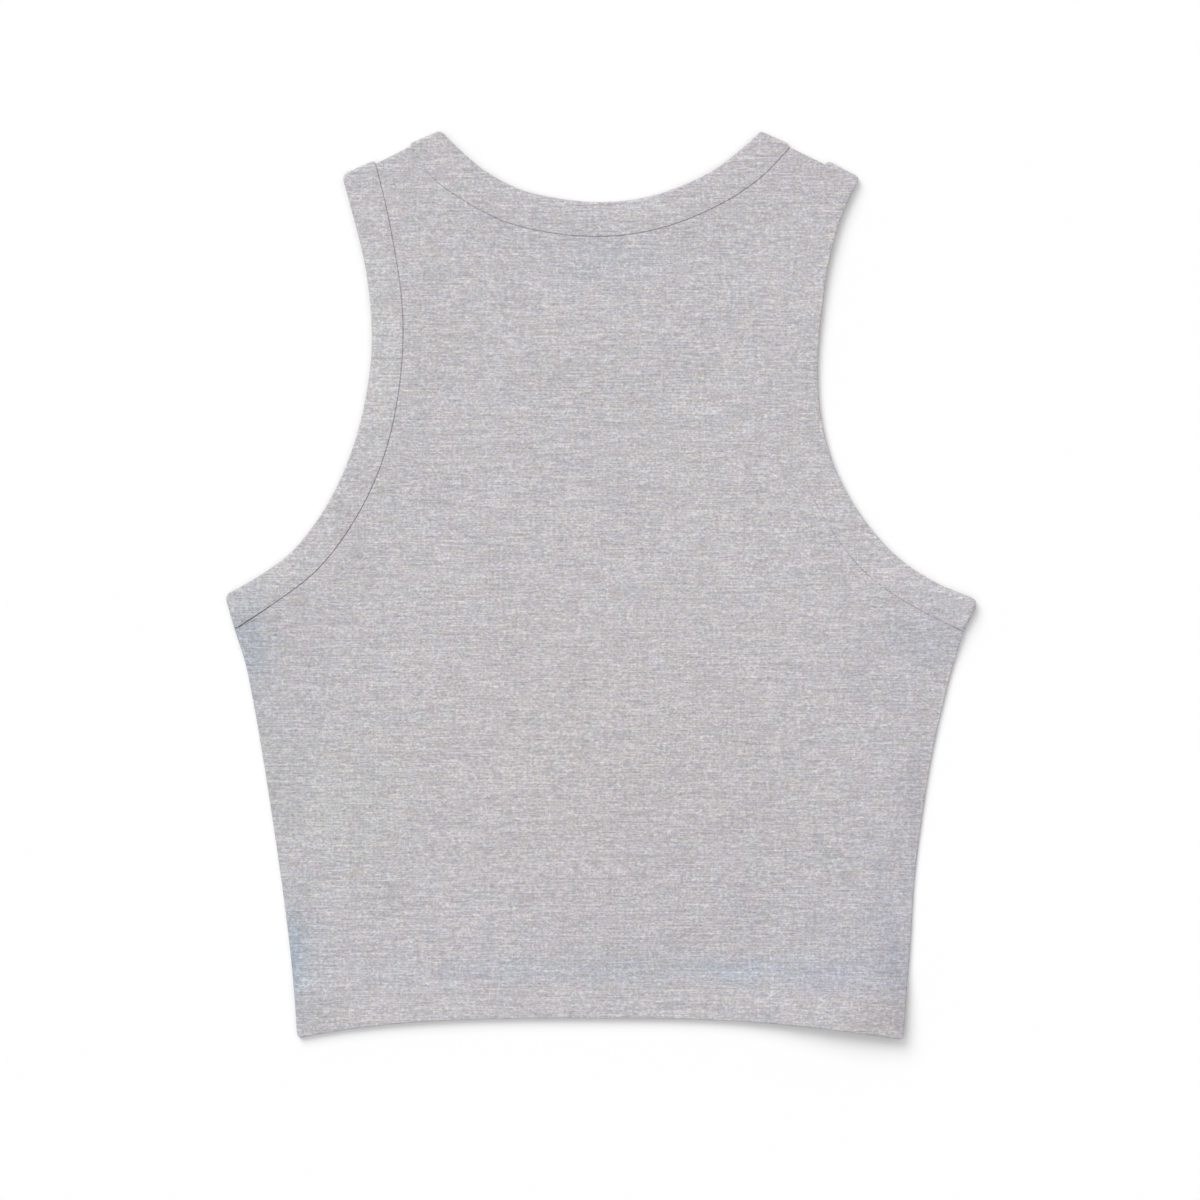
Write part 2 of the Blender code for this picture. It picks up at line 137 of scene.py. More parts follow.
# A band's folded edge and its seam, one row for each section. An arm band starts at the shoulder fold.
BandRow = namedtuple("BandRow", "edge_x edge_y seam_x seam_y")
LEFT_ARM_BAND = table(
    BandRow,
    (-132.1, 208.0, -115.4, 215.2),
    (-126.2, 187.5, -109.3, 191.9),
    (-121.0, 167.0, -105.1, 170.2),
    (-117.6, 144.5, -101.5, 146.0),
    (-116.6, 122.0, -100.8, 122.0),
    (-119.0, 98.9, -103.2, 96.3),
    (-126.6, 68.5, -111.1, 63.1),
    (-140.8, 38.1, -127.3, 29.6),
    (-157.0, 17.1, -145.4, 6.6),
    (-173.5, 4.9, -165.3, -8.8),
    (-191.2, -4.7, -186.3, -22.0),
)
RIGHT_ARM_BAND = table(
    BandRow,
    (130.7, 206.5, 114.0, 215.4),
    (122.3, 188.5, 106.0, 194.4),
    (115.9, 167.0, 99.5, 170.2),
    (111.4, 138.0, 94.5, 139.2),
    (109.4, 109.0, 93.3, 109.2),
    (111.5, 83.0, 96.4, 80.0),
    (119.1, 57.0, 104.2, 50.5),
    (129.8, 37.6, 116.1, 28.0),
    (148.0, 16.0, 136.3, 3.8),
    (170.0, 1.0, 162.8, -13.6),
    (191.3, -8.1, 183.4, -23.7),
)
BACK_NECK_BAND = table(
    BandRow,
    (-81.3, 230.8, -97.5, 223.7),
    (-71.6, 220.2, -85.8, 206.4),
    (-60.5, 210.8, -70.8, 195.4),
    (-41.5, 200.6, -47.8, 183.7),
    (-20.5, 195.8, -23.3, 178.2),
    (0.0, 194.2, 0.0, 176.7),
    (20.5, 196.2, 23.6, 179.4),
    (41.5, 202.8, 47.4, 187.0),
    (59.5, 212.2, 69.1, 198.2),
    (71.0, 221.3, 82.9, 208.6),
    (80.0, 230.4, 95.8, 223.2),
)
# The front neck between its two ends, which are the back neck's, from the right shoulder to the centre
FRONT_NECK_HALF = table(
    BandRow,
    (79.6, 208.0, 95.8, 205.0),
    (74.6, 186.0, 90.6, 181.0),
    (66.0, 165.5, 80.6, 156.8),
    (50.5, 148.5, 60.5, 134.6),
    (27.5, 137.6, 31.6, 120.8),
    (0.0, 134.5, 0.0, 117.2),
)

# A half of the garment: its outline, how far the hem dips towards the side and how late it dips, and how far
# the panel's shoulder fold has slipped back beside the arm band
Half = namedtuple("Half", "seam arm hem_drop hem_power shoulder_inset")
LEFT = Half(LEFT_SEAM, LEFT_ARM_BAND, 9.9, 3.2, 0.6)
RIGHT = Half(RIGHT_SEAM, RIGHT_ARM_BAND, 10.5, 2.5, 1.1)

# How deep a seam sinks into the cloth, as a share of the full roll, along the seam from 0 to 1. The depth
# also sets how dark the seam's painted shade is
Crease = namedtuple("Crease", "along depth")
LEAST_CREASE = 0.15  # of its gap and roll, where a seam is pressed shut
EVEN_CREASE = table(Crease, (0.0, 0.75), (1.0, 0.75))
LEFT_ARM_CREASE = table(
    Crease,
    (0.0, 0.65),
    (0.3, 0.6),
    (0.6, 0.75),
    (0.75, 0.9),
    (0.93, 0.85),
    (0.97, 1.8),
    (1.0, 2.1),
)
RIGHT_ARM_CREASE = table(
    Crease,
    (0.0, 0.0),
    (0.11, 0.0),
    (0.14, 0.2),
    (0.2, 0.12),
    (0.24, 0.0),
    (0.56, 0.0),
    (0.64, 0.2),
    (0.78, 0.38),
    (0.92, 0.5),
    (1.0, 0.45),
)
BACK_NECK_CREASE = table(
    Crease,
    (0.0, 0.0),
    (0.045, 0.0),
    (0.07, 0.3),
    (0.12, 0.42),
    (0.25, 0.5),
    (0.5, 0.6),
    (0.8, 0.75),
    (1.0, 0.7),
)

# Soft ripples of the upper ply: a ridge's middle, the way it runs, its half length, half width and height
Ripple = namedtuple("Ripple", "x y turn length width height")
RIPPLES = table(
    Ripple,
    (-95, -60, 62, 95, 24, 0.75),
    (-40, -120, 80, 80, 20, -0.25),
    (20, 40, 96, 110, 30, 0.55),
    (92, -70, 118, 100, 26, 0.85),
    (120, -150, 100, 60, 16, 0.6),
    (-125, -165, 84, 50, 15, 0.5),
    (-60, 90, 70, 60, 22, 0.45),
    (60, 120, 105, 55, 18, 0.4),
    (10, -170, 8, 70, 16, 0.45),
    (-150, -30, 40, 30, 10, 0.35),
    (148, -40, 140, 30, 11, 0.4),
    (113, 82, 95, 28, 8, -0.6),
    (161, -140, 80, 32, 8, -0.5),
    (-142, -226, 6, 32, 12, -0.6),
)

# Where both plies rise a little off the surface: mostly the hem's right corner
LIFTS = table(
    Ripple,
    (123, -231, 0, 39, 29, 5.8),
    (187, -14, 120, 16, 10, 1.2),
    (120, 172, 74, 38, 12, 1.3),
)

# Spots of painted shade and light, where the cloth slopes, curls at its edges or dips beside the hem and
# under the neck seam, together with yarn that took up a little more or less dye: middle, reach, and the share
# added to each channel
Tint = namedtuple("Tint", "x y reach_x reach_y red green blue")
DYE_AND_SHADE_SPOTS = table(
    Tint,
    (-180, -30, 11, 26, -0.17, -0.09, -0.03),
    (-150, -50, 30, 30, -0.03, -0.03, -0.02),
    (-165, -105, 12, 45, -0.065, -0.05, -0.052),
    (-156, -188, 12, 27, -0.15, -0.075, -0.02),
    (-157.5, -193, 4, 24, -0.15, -0.08, -0.03),
    (-118, -216, 22, 8, 0.035, 0.028, 0.025),
    (-147, -219, 12, 10, -0.06, -0.06, -0.06),
    (-113, 105, 9, 70, 0.045, 0.06, 0.045),
    (-157, 12, 18, 13, 0.04, 0.05, 0.04),
    (166, -27, 22, 16, -0.09, -0.07, -0.03),
    (143, -45, 28, 25, -0.03, -0.03, -0.02),
    (152, 8, 18, 11, 0.045, 0.025, 0.03),
    (145, -175, 16, 45, -0.075, -0.065, -0.02),
    (153, -203, 12, 20, -0.14, -0.135, -0.13),
    (140, -220, 18, 12, -0.07, -0.09, -0.11),
    (159, -104, 11, 32, -0.085, -0.085, -0.07),
    (60, -194, 90, 6, -0.1, -0.06, -0.01),
    (2, -195, 26, 7, -0.05, -0.03, -0.04),
    (70, -198, 14, 6, -0.06, -0.02, 0),
    (112, -201, 16, 7, -0.12, -0.1, -0.04),
    (-62, -196, 36, 6, -0.09, -0.07, -0.03),
    (-121, -194.5, 20, 6, -0.045, -0.03, -0.025),
    (2, 166, 32, 13, -0.06, -0.04, -0.01),
    (0, -89, 95, 90, 0.02, 0, -0.012),
    (60, -130, 110, 85, -0.04, -0.04, -0.035),
    (-128, -109, 32, 42, -0.02, 0, -0.02),
    (116, -177, 13, 11, -0.04, -0.03, -0.01),
    (109, 206, 21, 17, -0.025, -0.035, -0.02),
    (-106, 210, 15, 11, -0.035, -0.025, -0.015),
    (0, -180, 160, 50, -0.025, -0.025, -0.015),
)

# Rows and columns of the grids
ARM_CELLS = 132
BACK_NECK_CELLS = 108
FRONT_NECK_CELLS = 168
SIDE_ROWS = 60
HEM_STRIP_ROWS = 6
PANEL_COLUMNS = 40
BAND_REFINEMENT = 2
ROLL_ANGLES = np.radians([0.0, 15.0, 30.0, 45.0, 60.0, 75.0, 90.0])
HEM_ANGLES = np.radians([6.0, 24.0, 42.0, 60.0, 76.0, 90.0])
BAND_EDGE_ANGLES = np.radians(np.linspace(90.0, -90.0, 11))
FOLD_ANGLES = np.radians(np.linspace(0.0, 180.0, 15)[1:-1])
FLATS = np.array([0.6, 1.6, 3.5])  # columns just past a roll
SIDE_GROOVE = np.array([0.25, 0.06] + [0.0] * 5)  # the side seam pulls its lowest edge in
SIDE_TURN = 0.6  # how far in from the side seam the cloth starts to turn down
HEM_TURN = 0.55  # and from the hem's fold
LEAST_TURN = 0.1  # and inside a fold
FAR = 99.0  # farther than any seam's shade reaches
NECK_GRADING = 0.02  # rows on the centre line close up towards the neck seam
SIDE_GRADING = 1.6  # and rows on the side towards the underarm
HEM_CORNER = 1.8  # how round the hem's corners are
DENSE = 400  # cells of a side seam's curve
WELD = 0.004  # points closer than this are joined
LEAST_SLANT = 0.3  # sine of the flattest slant between a row and its seam that still counts
MOST_ROLL = 1.1  # of the full radius, where a crease is deepest
BAND_COLUMNS = 8  # across a band's face
BAND_CHAMFER = 0.2  # of its lower edge in the seam

# Distances from the turned-up edge of the hem at which its rows lie, between and beside the two needle lines
HEM_ROWS = np.array([-7.2, -6.6, -6.2, -5.8, -5.4, -5.0, -4.2, -3.0, -2.2, -1.8, -1.4, -1.0, -0.6, 0.0])
FIRST_HEM_ROW = len(HEM_ANGLES) - 1 + HEM_STRIP_ROWS  # of a panel's grid, where these start
NEEDLE_LINES = (-5.8, -1.4)
NEEDLE_REACH = 0.45  # half width of the groove that a needle line pulls in
NEEDLE_SINK = 0.18  # and its depth
STITCH = 2.8  # length
THREAD = 0.13  # radius
THREAD_TAPER = np.array([0.0, 0.75, 1.0, 1.0, 1.0, 1.0, 0.75, 0.0])
THREAD_DIP = 0.3  # share of its radius by which a stitch dips into the cloth at both ends
THREAD_SIDES = 6
COVER_STITCH = 1.45  # from one cover thread to the next
COVER_SLANT = 1.9  # how much farther along it meets the upper needle line
COVER_THREAD = 0.1  # radius

# A cut panel by its seams, whose arms are the left and the right one, and a seam by its line
Panel = namedtuple("Panel", "neck neck_cells neck_crease arms arm_creases is_back")
Edge = namedtuple("Edge", "path crease")


def own_settings(group):
    """The properties of a group, without the two that every group has."""
    settings = group.bl_rna.properties
    return [setting for setting in settings if setting.identifier not in ("rna_type", "name")]


def in_millimetres(group):
    """The numbers of a property group whose unit is a length, in millimetres, and the others as they are."""
    values = {}
    for setting in own_settings(group):
        value = getattr(group, setting.identifier)
        values[setting.identifier] = value / MM if getattr(setting, "unit", "") == "LENGTH" else value
    return SimpleNamespace(**values)


def ease(t):
    """Smooth step from 0 at t = 0 to 1 at t = 1."""
    t = np.clip(t, 0.0, 1.0)
    return t * t * (3.0 - 2.0 * t)


def mix(start, end, share):
    """The value a share of the way from start to end."""
    return start * (1.0 - share) + end * share


def unit(vectors):
    """Vectors divided by their own lengths."""
    return vectors / np.linalg.norm(vectors, axis=-1, keepdims=True)


def arc_lengths(points):
    """Length along a polyline at each of its points."""
    steps = np.linalg.norm(np.diff(points, axis=0), axis=1)
    return np.concatenate([[0.0], np.cumsum(steps)])


def smooth_curve(rows, cells):
    """Cubic Hermite curve through the rows, in even cells of chord length on each side of the middle row."""
    rows = np.array(rows, float)
    knots = arc_lengths(rows)
    slopes = np.gradient(rows, knots, axis=0)
    at = np.interp(np.linspace(0.0, 1.0, cells + 1), [0.0, 0.5, 1.0], [0.0, knots[len(rows) // 2], knots[-1]])
    i = np.clip(np.searchsorted(knots, at, side="right") - 1, 0, len(rows) - 2)
    span = (knots[i + 1] - knots[i])[:, None]
    t = (at - knots[i])[:, None] / span
    start = (2 * t**3 - 3 * t**2 + 1) * rows[i] + (t**3 - 2 * t**2 + t) * span * slopes[i]
    end = (3 * t**2 - 2 * t**3) * rows[i + 1] + (t**3 - t**2) * span * slopes[i + 1]
    return start + end


def along_path(path, distance):
    """Points of a polyline at these distances from its start."""
    lengths = arc_lengths(path)
    return np.stack([np.interp(distance, lengths, values) for values in path.T], axis=-1)


def nearest_on(path, x, y):
    """Distance from each point to a polyline's segments, and how far along it the nearest place is."""
    start, step = path[:-1], np.diff(path, axis=0)
    offset_x, offset_y = x[..., None] - start[:, 0], y[..., None] - start[:, 1]
    t = (offset_x * step[:, 0] + offset_y * step[:, 1]) / np.sum(step**2, axis=1)
    t = np.clip(t, 0.0, 1.0)
    distance = np.hypot(offset_x - t * step[:, 0], offset_y - t * step[:, 1])
    nearest = np.argmin(distance, axis=-1)[..., None]
    t = np.take_along_axis(t, nearest, axis=-1)[..., 0]
    along = (nearest[..., 0] + t) / len(step)
    return np.take_along_axis(distance, nearest, axis=-1)[..., 0], along


def fold_outward(row, inner_row):
    """Unit vector square to a band's folded end, pointing away from the rest of the band."""
    across = unit(row[:2] - row[2:])
    outward = np.array([-across[1], across[0]])
    return outward * np.sign(outward @ (row[:2] - inner_row[:2]))


def stations(rows, cells):
    """A band's sections from fold to fold, and the directions out of its two folds.

    The table ends on the silhouette, so its end rows are first drawn back to the middle of the fold.
    """
    rows = np.array(rows, float)
    starts, ends = fold_outward(rows[0], rows[1]), fold_outward(rows[-1], rows[-2])
    rows[0] -= np.tile(starts, 2) * BAND_SPLIT
    rows[-1] -= np.tile(ends, 2) * BAND_SPLIT
    return smooth_curve(rows, cells), starts, ends


def front_arm(rows):
    """The armhole's rows in the front ply, cut a little deeper between its two ends."""
    rows = np.array(rows, float)
    inward = unit(rows[:, 2:] - rows[:, :2])
    depth = ARMHOLE_INSET * np.sin(np.linspace(0.0, np.pi, len(rows)))[:, None]
    return rows + np.tile(inward * depth, 2)


def front_neck():
    """The front neck's rows from the left shoulder to the right one."""
    half = np.array(FRONT_NECK_HALF, float)
    mirrored = half * [-1.0, 1.0, -1.0, 1.0]
    return np.vstack([BACK_NECK_BAND[0], mirrored, half[-2::-1], BACK_NECK_BAND[-1]])


def neck_sag(x):
    """How far the back neck band and the panel beside it have sunk."""
    return NECK_SAG * ease(1.0 - np.abs(x) / NECK_SAG_HALF_WIDTH)


def ripple_height(ripples, x, y):
    """Sum of the ripples: each a bell across its ridge times a bell along it."""
    total = np.zeros_like(x)
    for ripple in ripples:
        turn = np.radians(ripple.turn)
        along = (x - ripple.x) * np.cos(turn) + (y - ripple.y) * np.sin(turn)
        across = (y - ripple.y) * np.cos(turn) - (x - ripple.x) * np.sin(turn)
        total += ripple.height * np.exp(-((along / ripple.length) ** 2) - (across / ripple.width) ** 2)
    return total


def laid_loose(points):
    """Raises the upper ply by its ripples, from nothing at the slit below it, and both plies by the lifts."""
    x, y, z = np.moveaxis(points, -1, 0)
    share = ease((z - BODY_SPLIT) / BODY_SPLIT)
    raised = z + share * ripple_height(RIPPLES, x, y) + ripple_height(LIFTS, x, y)
    return np.stack([x, y, raised], axis=-1)


def dye_and_shade_at(points):
    """Colour factor at each point, with its painted shade and light and its uneven dye: 1 plus every spot,
    each a bell round its middle.
    """
    factor = np.ones(points.shape[:-1] + (3,))
    for dye_and_shade in DYE_AND_SHADE_SPOTS:
        bell = np.exp(
            -(((points[..., 0] - dye_and_shade.x) / dye_and_shade.reach_x) ** 2)
            - ((points[..., 1] - dye_and_shade.y) / dye_and_shade.reach_y) ** 2
        )
        factor += bell[..., None] * np.array([dye_and_shade.red, dye_and_shade.green, dye_and_shade.blue])
    return factor


def crease_at(crease, along):
    """Depth of a seam's crease at a share of its length."""
    return np.interp(along, [point.along for point in crease], [point.depth for point in crease])


def roll_drop(distance, radius):
    """How far a rolled edge lies below the face beside it: a quarter circle of this radius."""
    short = np.clip(1.0 - distance / radius, 0.0, 1.0)
    return radius * (1.0 - np.sqrt(1.0 - short**2))


def corner_pull(distance, corner):
    """How far a folded end's corner is drawn in, as a quarter circle, at this distance from its end."""
    short = np.clip(corner - distance, 0.0, corner)
    return corner - np.sqrt(corner**2 - short**2)


def half_gap(depth, gap):
    """From a seam to the piece on one side of it: the more open, the deeper the crease."""
    return np.clip(depth, LEAST_CREASE, 1.0) * gap / 2


def roll_radius(depth, full):
    """Radius at which cloth turns down into a seam: the larger, the deeper the crease."""
    return full * np.clip(depth, LEAST_CREASE, MOST_ROLL)


def seam_points(rows, cells, crease, gap):
    """A panel's edge along a band, half a gap off the seam, and the directions out of the folds."""
    rows, starts, ends = stations(rows, cells)
    apart = half_gap(crease_at(crease, np.linspace(0.0, 1.0, cells + 1)), gap)[:, None]
    return rows[:, 2:] + unit(rows[:, 2:] - rows[:, :2]) * apart, starts, ends


def seam_edge(rows, cells, crease, gap):
    """A panel's edge along a band, run on past both folds, with its crease."""
    path, starts, ends = seam_points(rows, cells, crease, gap)
    return Edge(np.vstack([path[0] + starts * SHOULDER_CURL, path, path[-1] + ends * BAND_STACK]), crease)


def side_path(half, gap):
    """The side seam from the hem to just under the arm band's folded end."""
    underarm = np.array(half.arm[-1])
    path = smooth_curve([*half.seam, underarm[2:]], DENSE)
    path[-1] += unit(underarm[2:] - underarm[:2]) * gap / 2
    return path


def hem_distances(depth):
    """Distances above the hem's lower edge: round its fold, up the turned-up strip and past its step."""
    rounding = (1.0 - np.cos(HEM_ANGLES)) * HEM_TURN
    strip = np.linspace(rounding[-1], depth + HEM_ROWS[0], HEM_STRIP_ROWS + 1)
    return np.concatenate([rounding[:-1], strip[:-1], depth + HEM_ROWS, [depth + HEM_STEP]])


def graded(start, end, count):
    """Values from start to end that close up towards the end, without the two ends."""
    back = np.linspace(1.0, 0.0, count + 2)[1:-1]
    return end + (start - end) * (NECK_GRADING * back + (1.0 - NECK_GRADING) * back**2)


def drawn_back(path, inset):
    """A path whose last stretch is drawn back along itself, so that it ends this much short."""
    lengths = arc_lengths(path)
    return along_path(path, lengths - inset * ease(1.0 - (lengths[-1] - lengths) / SHOULDER_INSET_REACH))


def row_ends(panel, half, is_outer, sizes):
    """The two ends of each row of a half panel, from the hem up, and which rows end on the side seam.

    The inner end runs up the centre line and the neck seam, the outer one up the side and the arm seam. Both
    end in the few rows of the curl over the shoulder.
    """
    side = int(half is RIGHT)
    neck, *neck_outward = seam_points(panel.neck, panel.neck_cells, panel.neck_crease, sizes.seam_gap)
    arm, arm_out, _ = seam_points(panel.arms[side], ARM_CELLS, panel.arm_creases[side], sizes.seam_gap)
    middle = panel.neck_cells // 2
    neck = neck[middle:] if half is RIGHT else neck[middle::-1]
    arm = drawn_back(arm[::-1], half.shoulder_inset)
    turned = SHOULDER_CURL if is_outer else max(SHOULDER_CURL - sizes.cloth, LEAST_TURN)
    past_fold = turned * np.cos(ROLL_ANGLES[-2::-1])[:, None]
    neck_top = neck[-1] + neck_outward[side] * past_fold
    arm_top = arm[-1] + arm_out * past_fold
    path = side_path(half, sizes.seam_gap)
    up = hem_distances(HEM_DEPTH_SIDE)
    to_underarm = 1.0 - np.linspace(1.0, 0.0, SIDE_ROWS + 1)[1:] ** SIDE_GRADING
    up = np.concatenate([up, mix(up[-1], arc_lengths(path)[-1], to_underarm)])
    centre = hem_distances(HEM_DEPTH_CENTRE) + HEM_CENTRE_Y
    rows_to_neck = SIDE_ROWS + len(arm) - len(neck)
    centre = np.concatenate([centre, graded(centre[-1], neck[0, 1], rows_to_neck)])
    inner = np.vstack([np.stack([np.zeros_like(centre), centre], axis=1), neck, neck_top])
    outer = np.vstack([along_path(path, up), arm, arm_top])
    outer[: len(up), 0] *= 1.0 - corner_pull(up, HEM_CORNER) / np.abs(half.seam[0].x)
    return inner, outer, (np.arange(len(outer)) < len(up))[:, None]


def side_split(half, y):
    """Height of the slit between the plies along the side seam: higher at the hem and by the underarm."""
    turned_up = half.seam[0].y + HEM_DEPTH_SIDE
    split = mix(HEM_SPLIT, BODY_SPLIT, ease((y - turned_up) / HEM_REACH))
    return mix(split, BAND_SPLIT, ease(1.0 + (y - half.arm[-1].seam_y) / ARM_REACH))


def over_hem(half, x, y):
    """1 over the turned-up hem, easing to 0 above it."""
    share = np.clip(np.abs(x / half.seam[0].x), 0.0, 1.0)
    edge = mix(HEM_CENTRE_Y + HEM_DEPTH_CENTRE, half.seam[0].y + HEM_DEPTH_SIDE, share**half.hem_power)
    return 1.0 - ease((y - edge) / HEM_REACH)


def panel_edges(panel, half, sizes):
    """The neck seam and this half's arm seam as edges."""
    side = int(half is RIGHT)
    neck = seam_edge(panel.neck, panel.neck_cells, panel.neck_crease, sizes.seam_gap)
    arm = seam_edge(panel.arms[side], ARM_CELLS, panel.arm_creases[side], sizes.seam_gap)
    return neck, arm


def outer_height(panel, half, edges, x, y):
    """Height of a panel's outer face before its edges roll in.

    The front lies flat on the surface. The back is a low sheet over it, which rises over the front neck
    band and the turned-up hem and meets the bands at their own height.
    """
    if not panel.is_back:
        return np.zeros_like(x)
    front_band = smooth_curve(front_neck(), FRONT_NECK_CELLS)
    past_band = nearest_on((front_band[:, :2] + front_band[:, 2:]) / 2, x, y)[0] - FRONT_BAND_HALF_WIDTH
    high = mix(OVER_FRONT_BAND_TOP, BACK_TOP, ease(past_band / FRONT_BAND_REACH))
    high = mix(high, HEM_TOP, over_hem(half, x, y))
    by_arm = 1.0 - ease(nearest_on(edges[1].path, x, y)[0] / ARM_REACH)
    by_neck = 1.0 - ease(nearest_on(edges[0].path, x, y)[0] / NECK_REACH)
    return mix(mix(high, SEAM_TOP, by_arm), SEAM_TOP - neck_sag(x), by_neck)


def edge_slant(points, across, used):
    """Sine of the angle between each row and the edge that it ends on, 1 where the row ends elsewhere."""
    tangent = unit(np.gradient(points, axis=0))
    sine = np.abs(tangent[:, 0] * across[:, 1] - tangent[:, 1] * across[:, 0])
    return np.where(used, np.clip(sine, LEAST_SLANT, 1.0), 1.0)[:, None]


def column_shares(starts, ends, on_side, is_outer, sizes):
    """Shares of each row's length at which its columns lie: close together at both rolled ends."""
    length = np.linalg.norm(ends - starts, axis=1)[:, None]
    across = (ends - starts) / length
    roll = sizes.seam_roll * (1.0 - np.cos(ROLL_ANGLES))
    rolled = np.concatenate([roll, sizes.seam_roll + FLATS])
    from_start = rolled / edge_slant(starts, across, starts[:, 0] != 0.0)
    by_seam = rolled / edge_slant(ends, across, ~on_side[:, 0])
    by_side = SIDE_TURN - (SIDE_TURN if is_outer else LEAST_TURN) * np.cos(ROLL_ANGLES)
    by_side = np.concatenate([by_side + SIDE_GROOVE * is_outer, SIDE_TURN + FLATS])
    from_end = np.where(on_side, by_side, by_seam)
    first, last = from_start / length, 1.0 - from_end[:, ::-1] / length
    between = np.linspace(0.0, 1.0, PANEL_COLUMNS + 1)[1:-1]
    return np.hstack([first, mix(first[:, -1:], last[:, :1], between), last])


def needle_sink(rows):
    """How far each row of the hem is pulled in by the two needle lines."""
    from_edge = np.full(rows, np.inf)
    from_edge[FIRST_HEM_ROW : FIRST_HEM_ROW + len(HEM_ROWS)] = HEM_ROWS
    return sum(NEEDLE_SINK * np.exp(-(((from_edge - line) / NEEDLE_REACH) ** 2)) for line in NEEDLE_LINES)


def rolled_into(edges, x, y, full):
    """How far a face has rolled down into its seams, and of the nearest seam the distance and the depth."""
    drop, depth, nearest = np.zeros_like(x), np.zeros_like(x), np.full_like(x, FAR)
    for edge in edges:
        distance, along = nearest_on(edge.path, x, y)
        crease = crease_at(edge.crease, along)
        drop = np.maximum(drop, roll_drop(distance, roll_radius(crease, full)))
        depth, nearest = np.where(distance < nearest, crease, depth), np.minimum(distance, nearest)
    return drop, nearest, depth


def curl_shares(on_side, columns):
    """Shares of a face's full height round the hem's fold, and over the side's and the shoulder's curl."""
    rows = len(on_side)
    hem, side, shoulder = np.ones((rows, 1)), np.ones((rows, columns)), np.ones((rows, 1))
    hem[: len(HEM_ANGLES), 0] = np.sin(HEM_ANGLES)
    side[:, -len(ROLL_ANGLES) :] = np.where(on_side, np.sin(ROLL_ANGLES[::-1]), 1.0)
    shoulder[1 - len(ROLL_ANGLES) :, 0] = np.sin(ROLL_ANGLES[-2::-1])
    return hem, side, shoulder


def panel_face(panel, half, is_outer, sizes):
    """Points and seams of one face of half a panel: rows from the hem up, from the centre out.

    A row runs straight from its inner end to its outer end, and bows down near the hem. The face curls over
    the side and the shoulder to meet the other ply, and rolls down into the neck seam and the arm seam.
    """
    up = 1.0 if panel.is_back else -1.0
    edges = panel_edges(panel, half, sizes)
    starts, ends, on_side = row_ends(panel, half, is_outer, sizes)
    in_hem = np.arange(len(ends)) < len(hem_distances(HEM_DEPTH_SIDE)) - 1
    wall = np.where(in_hem, 2.0, 1.0)[:, None] * sizes.cloth
    split = side_split(half, ends[:, 1])[:, None]
    share = column_shares(starts, ends, on_side, is_outer, sizes)
    plan = mix(starts[:, None], ends[:, None], share[..., None])
    bow = half.hem_drop * (share - share**half.hem_power)
    x, y = plan[..., 0], plan[..., 1] + bow * (1.0 - ease((starts[:, 1:] - HEM_CENTRE_Y) / HEM_BOW_REACH))
    outside = outer_height(panel, half, edges, x, y) - up * needle_sink(len(x))[:, None]
    drop, nearest, depth = rolled_into(edges, x, y, sizes.seam_roll)
    by_hem, by_side, by_shoulder = curl_shares(on_side, x.shape[1])
    high = mix(outside - up * wall / 2, outside - up * (drop if is_outer else wall), by_hem)
    high = mix(split + up * sizes.seam_gap / 2, high, by_side)
    high = mix(BAND_SPLIT + up * sizes.seam_gap / 2, high, by_shoulder)
    return np.stack([x, y, high], axis=-1), np.stack([nearest, depth, np.zeros_like(x)], axis=-1)


def grid_faces(rows, columns, rows_close=False, columns_close=False):
    """Quads of a grid of points, whose last row or column may be joined to the first."""
    steps = np.arange(rows - 1 + rows_close), np.arange(columns - 1 + columns_close)
    row, column = np.meshgrid(*steps, indexing="ij")
    next_row, next_column = (row + 1) % rows, (column + 1) % columns
    corners = [row * columns + column, row * columns + next_column]
    corners += [next_row * columns + next_column, next_row * columns + column]
    return np.stack(corners, axis=-1).reshape(-1, 4)


def half_panel(panel, half, sizes):
    """Half of a panel as a closed wall, open only on the centre line, with its seams."""
    (outside, outer_seams), (inside, inner_seams) = (
        panel_face(panel, half, is_outer, sizes) for is_outer in (True, False)
    )
    rows, columns = outside.shape[:2]
    grid = np.arange(rows * columns).reshape(rows, columns)
    face = grid_faces(rows, columns)
    neck_row = np.flatnonzero(outside[:, 0, 0] == 0.0)[-1]
    rim = np.concatenate([grid[0], grid[1:, -1], grid[-1, -2::-1], grid[-2 : neck_row - 1 : -1, 0]])
    side = np.stack([rim[:-1], rim[1:], rim[1:] + grid.size, rim[:-1] + grid.size], axis=-1)
    points = np.concatenate([outside.reshape(-1, 3), inside.reshape(-1, 3)])
    seams = np.concatenate([outer_seams.reshape(-1, 3), inner_seams.reshape(-1, 3)])
    return points, facing_out(points, np.concatenate([face, face[:, ::-1] + grid.size, side[:, ::-1]])), seams


def facing_out(points, faces):
    """The faces, turned round if the volume that they enclose comes out negative."""
    first, second, third, fourth = (points[faces[:, corner]] for corner in range(4))
    volume = np.sum(first * (np.cross(second, third) + np.cross(third, fourth)))
    return faces if volume > 0 else faces[:, ::-1]


def fold_stations(row, outward):
    """Sections round a folded end, from the upper ply to the lower one."""
    radius = (BAND_THICKNESS + FOLD_GAP) / 2
    sines, cosines = np.sin(FOLD_ANGLES)[:, None], np.cos(FOLD_ANGLES)[:, None]
    lines = row + np.tile(outward, 2) * radius * sines
    heights = BAND_SPLIT + radius * cosines[:, 0]
    normals = np.hstack([outward * sines, cosines])
    return lines, heights, normals, BAND_SPLIT * (1.0 - sines[:, 0])


def ply_stations(rows, heights, up):
    """Sections along one ply of a band, with their distance from the nearer folded end."""
    length = arc_lengths(rows[:, :2])
    from_end = np.minimum(length, length[-1] - length) + BAND_SPLIT
    normals = np.tile([0.0, 0.0, up], (len(rows), 1))
    return rows, heights, normals, from_end


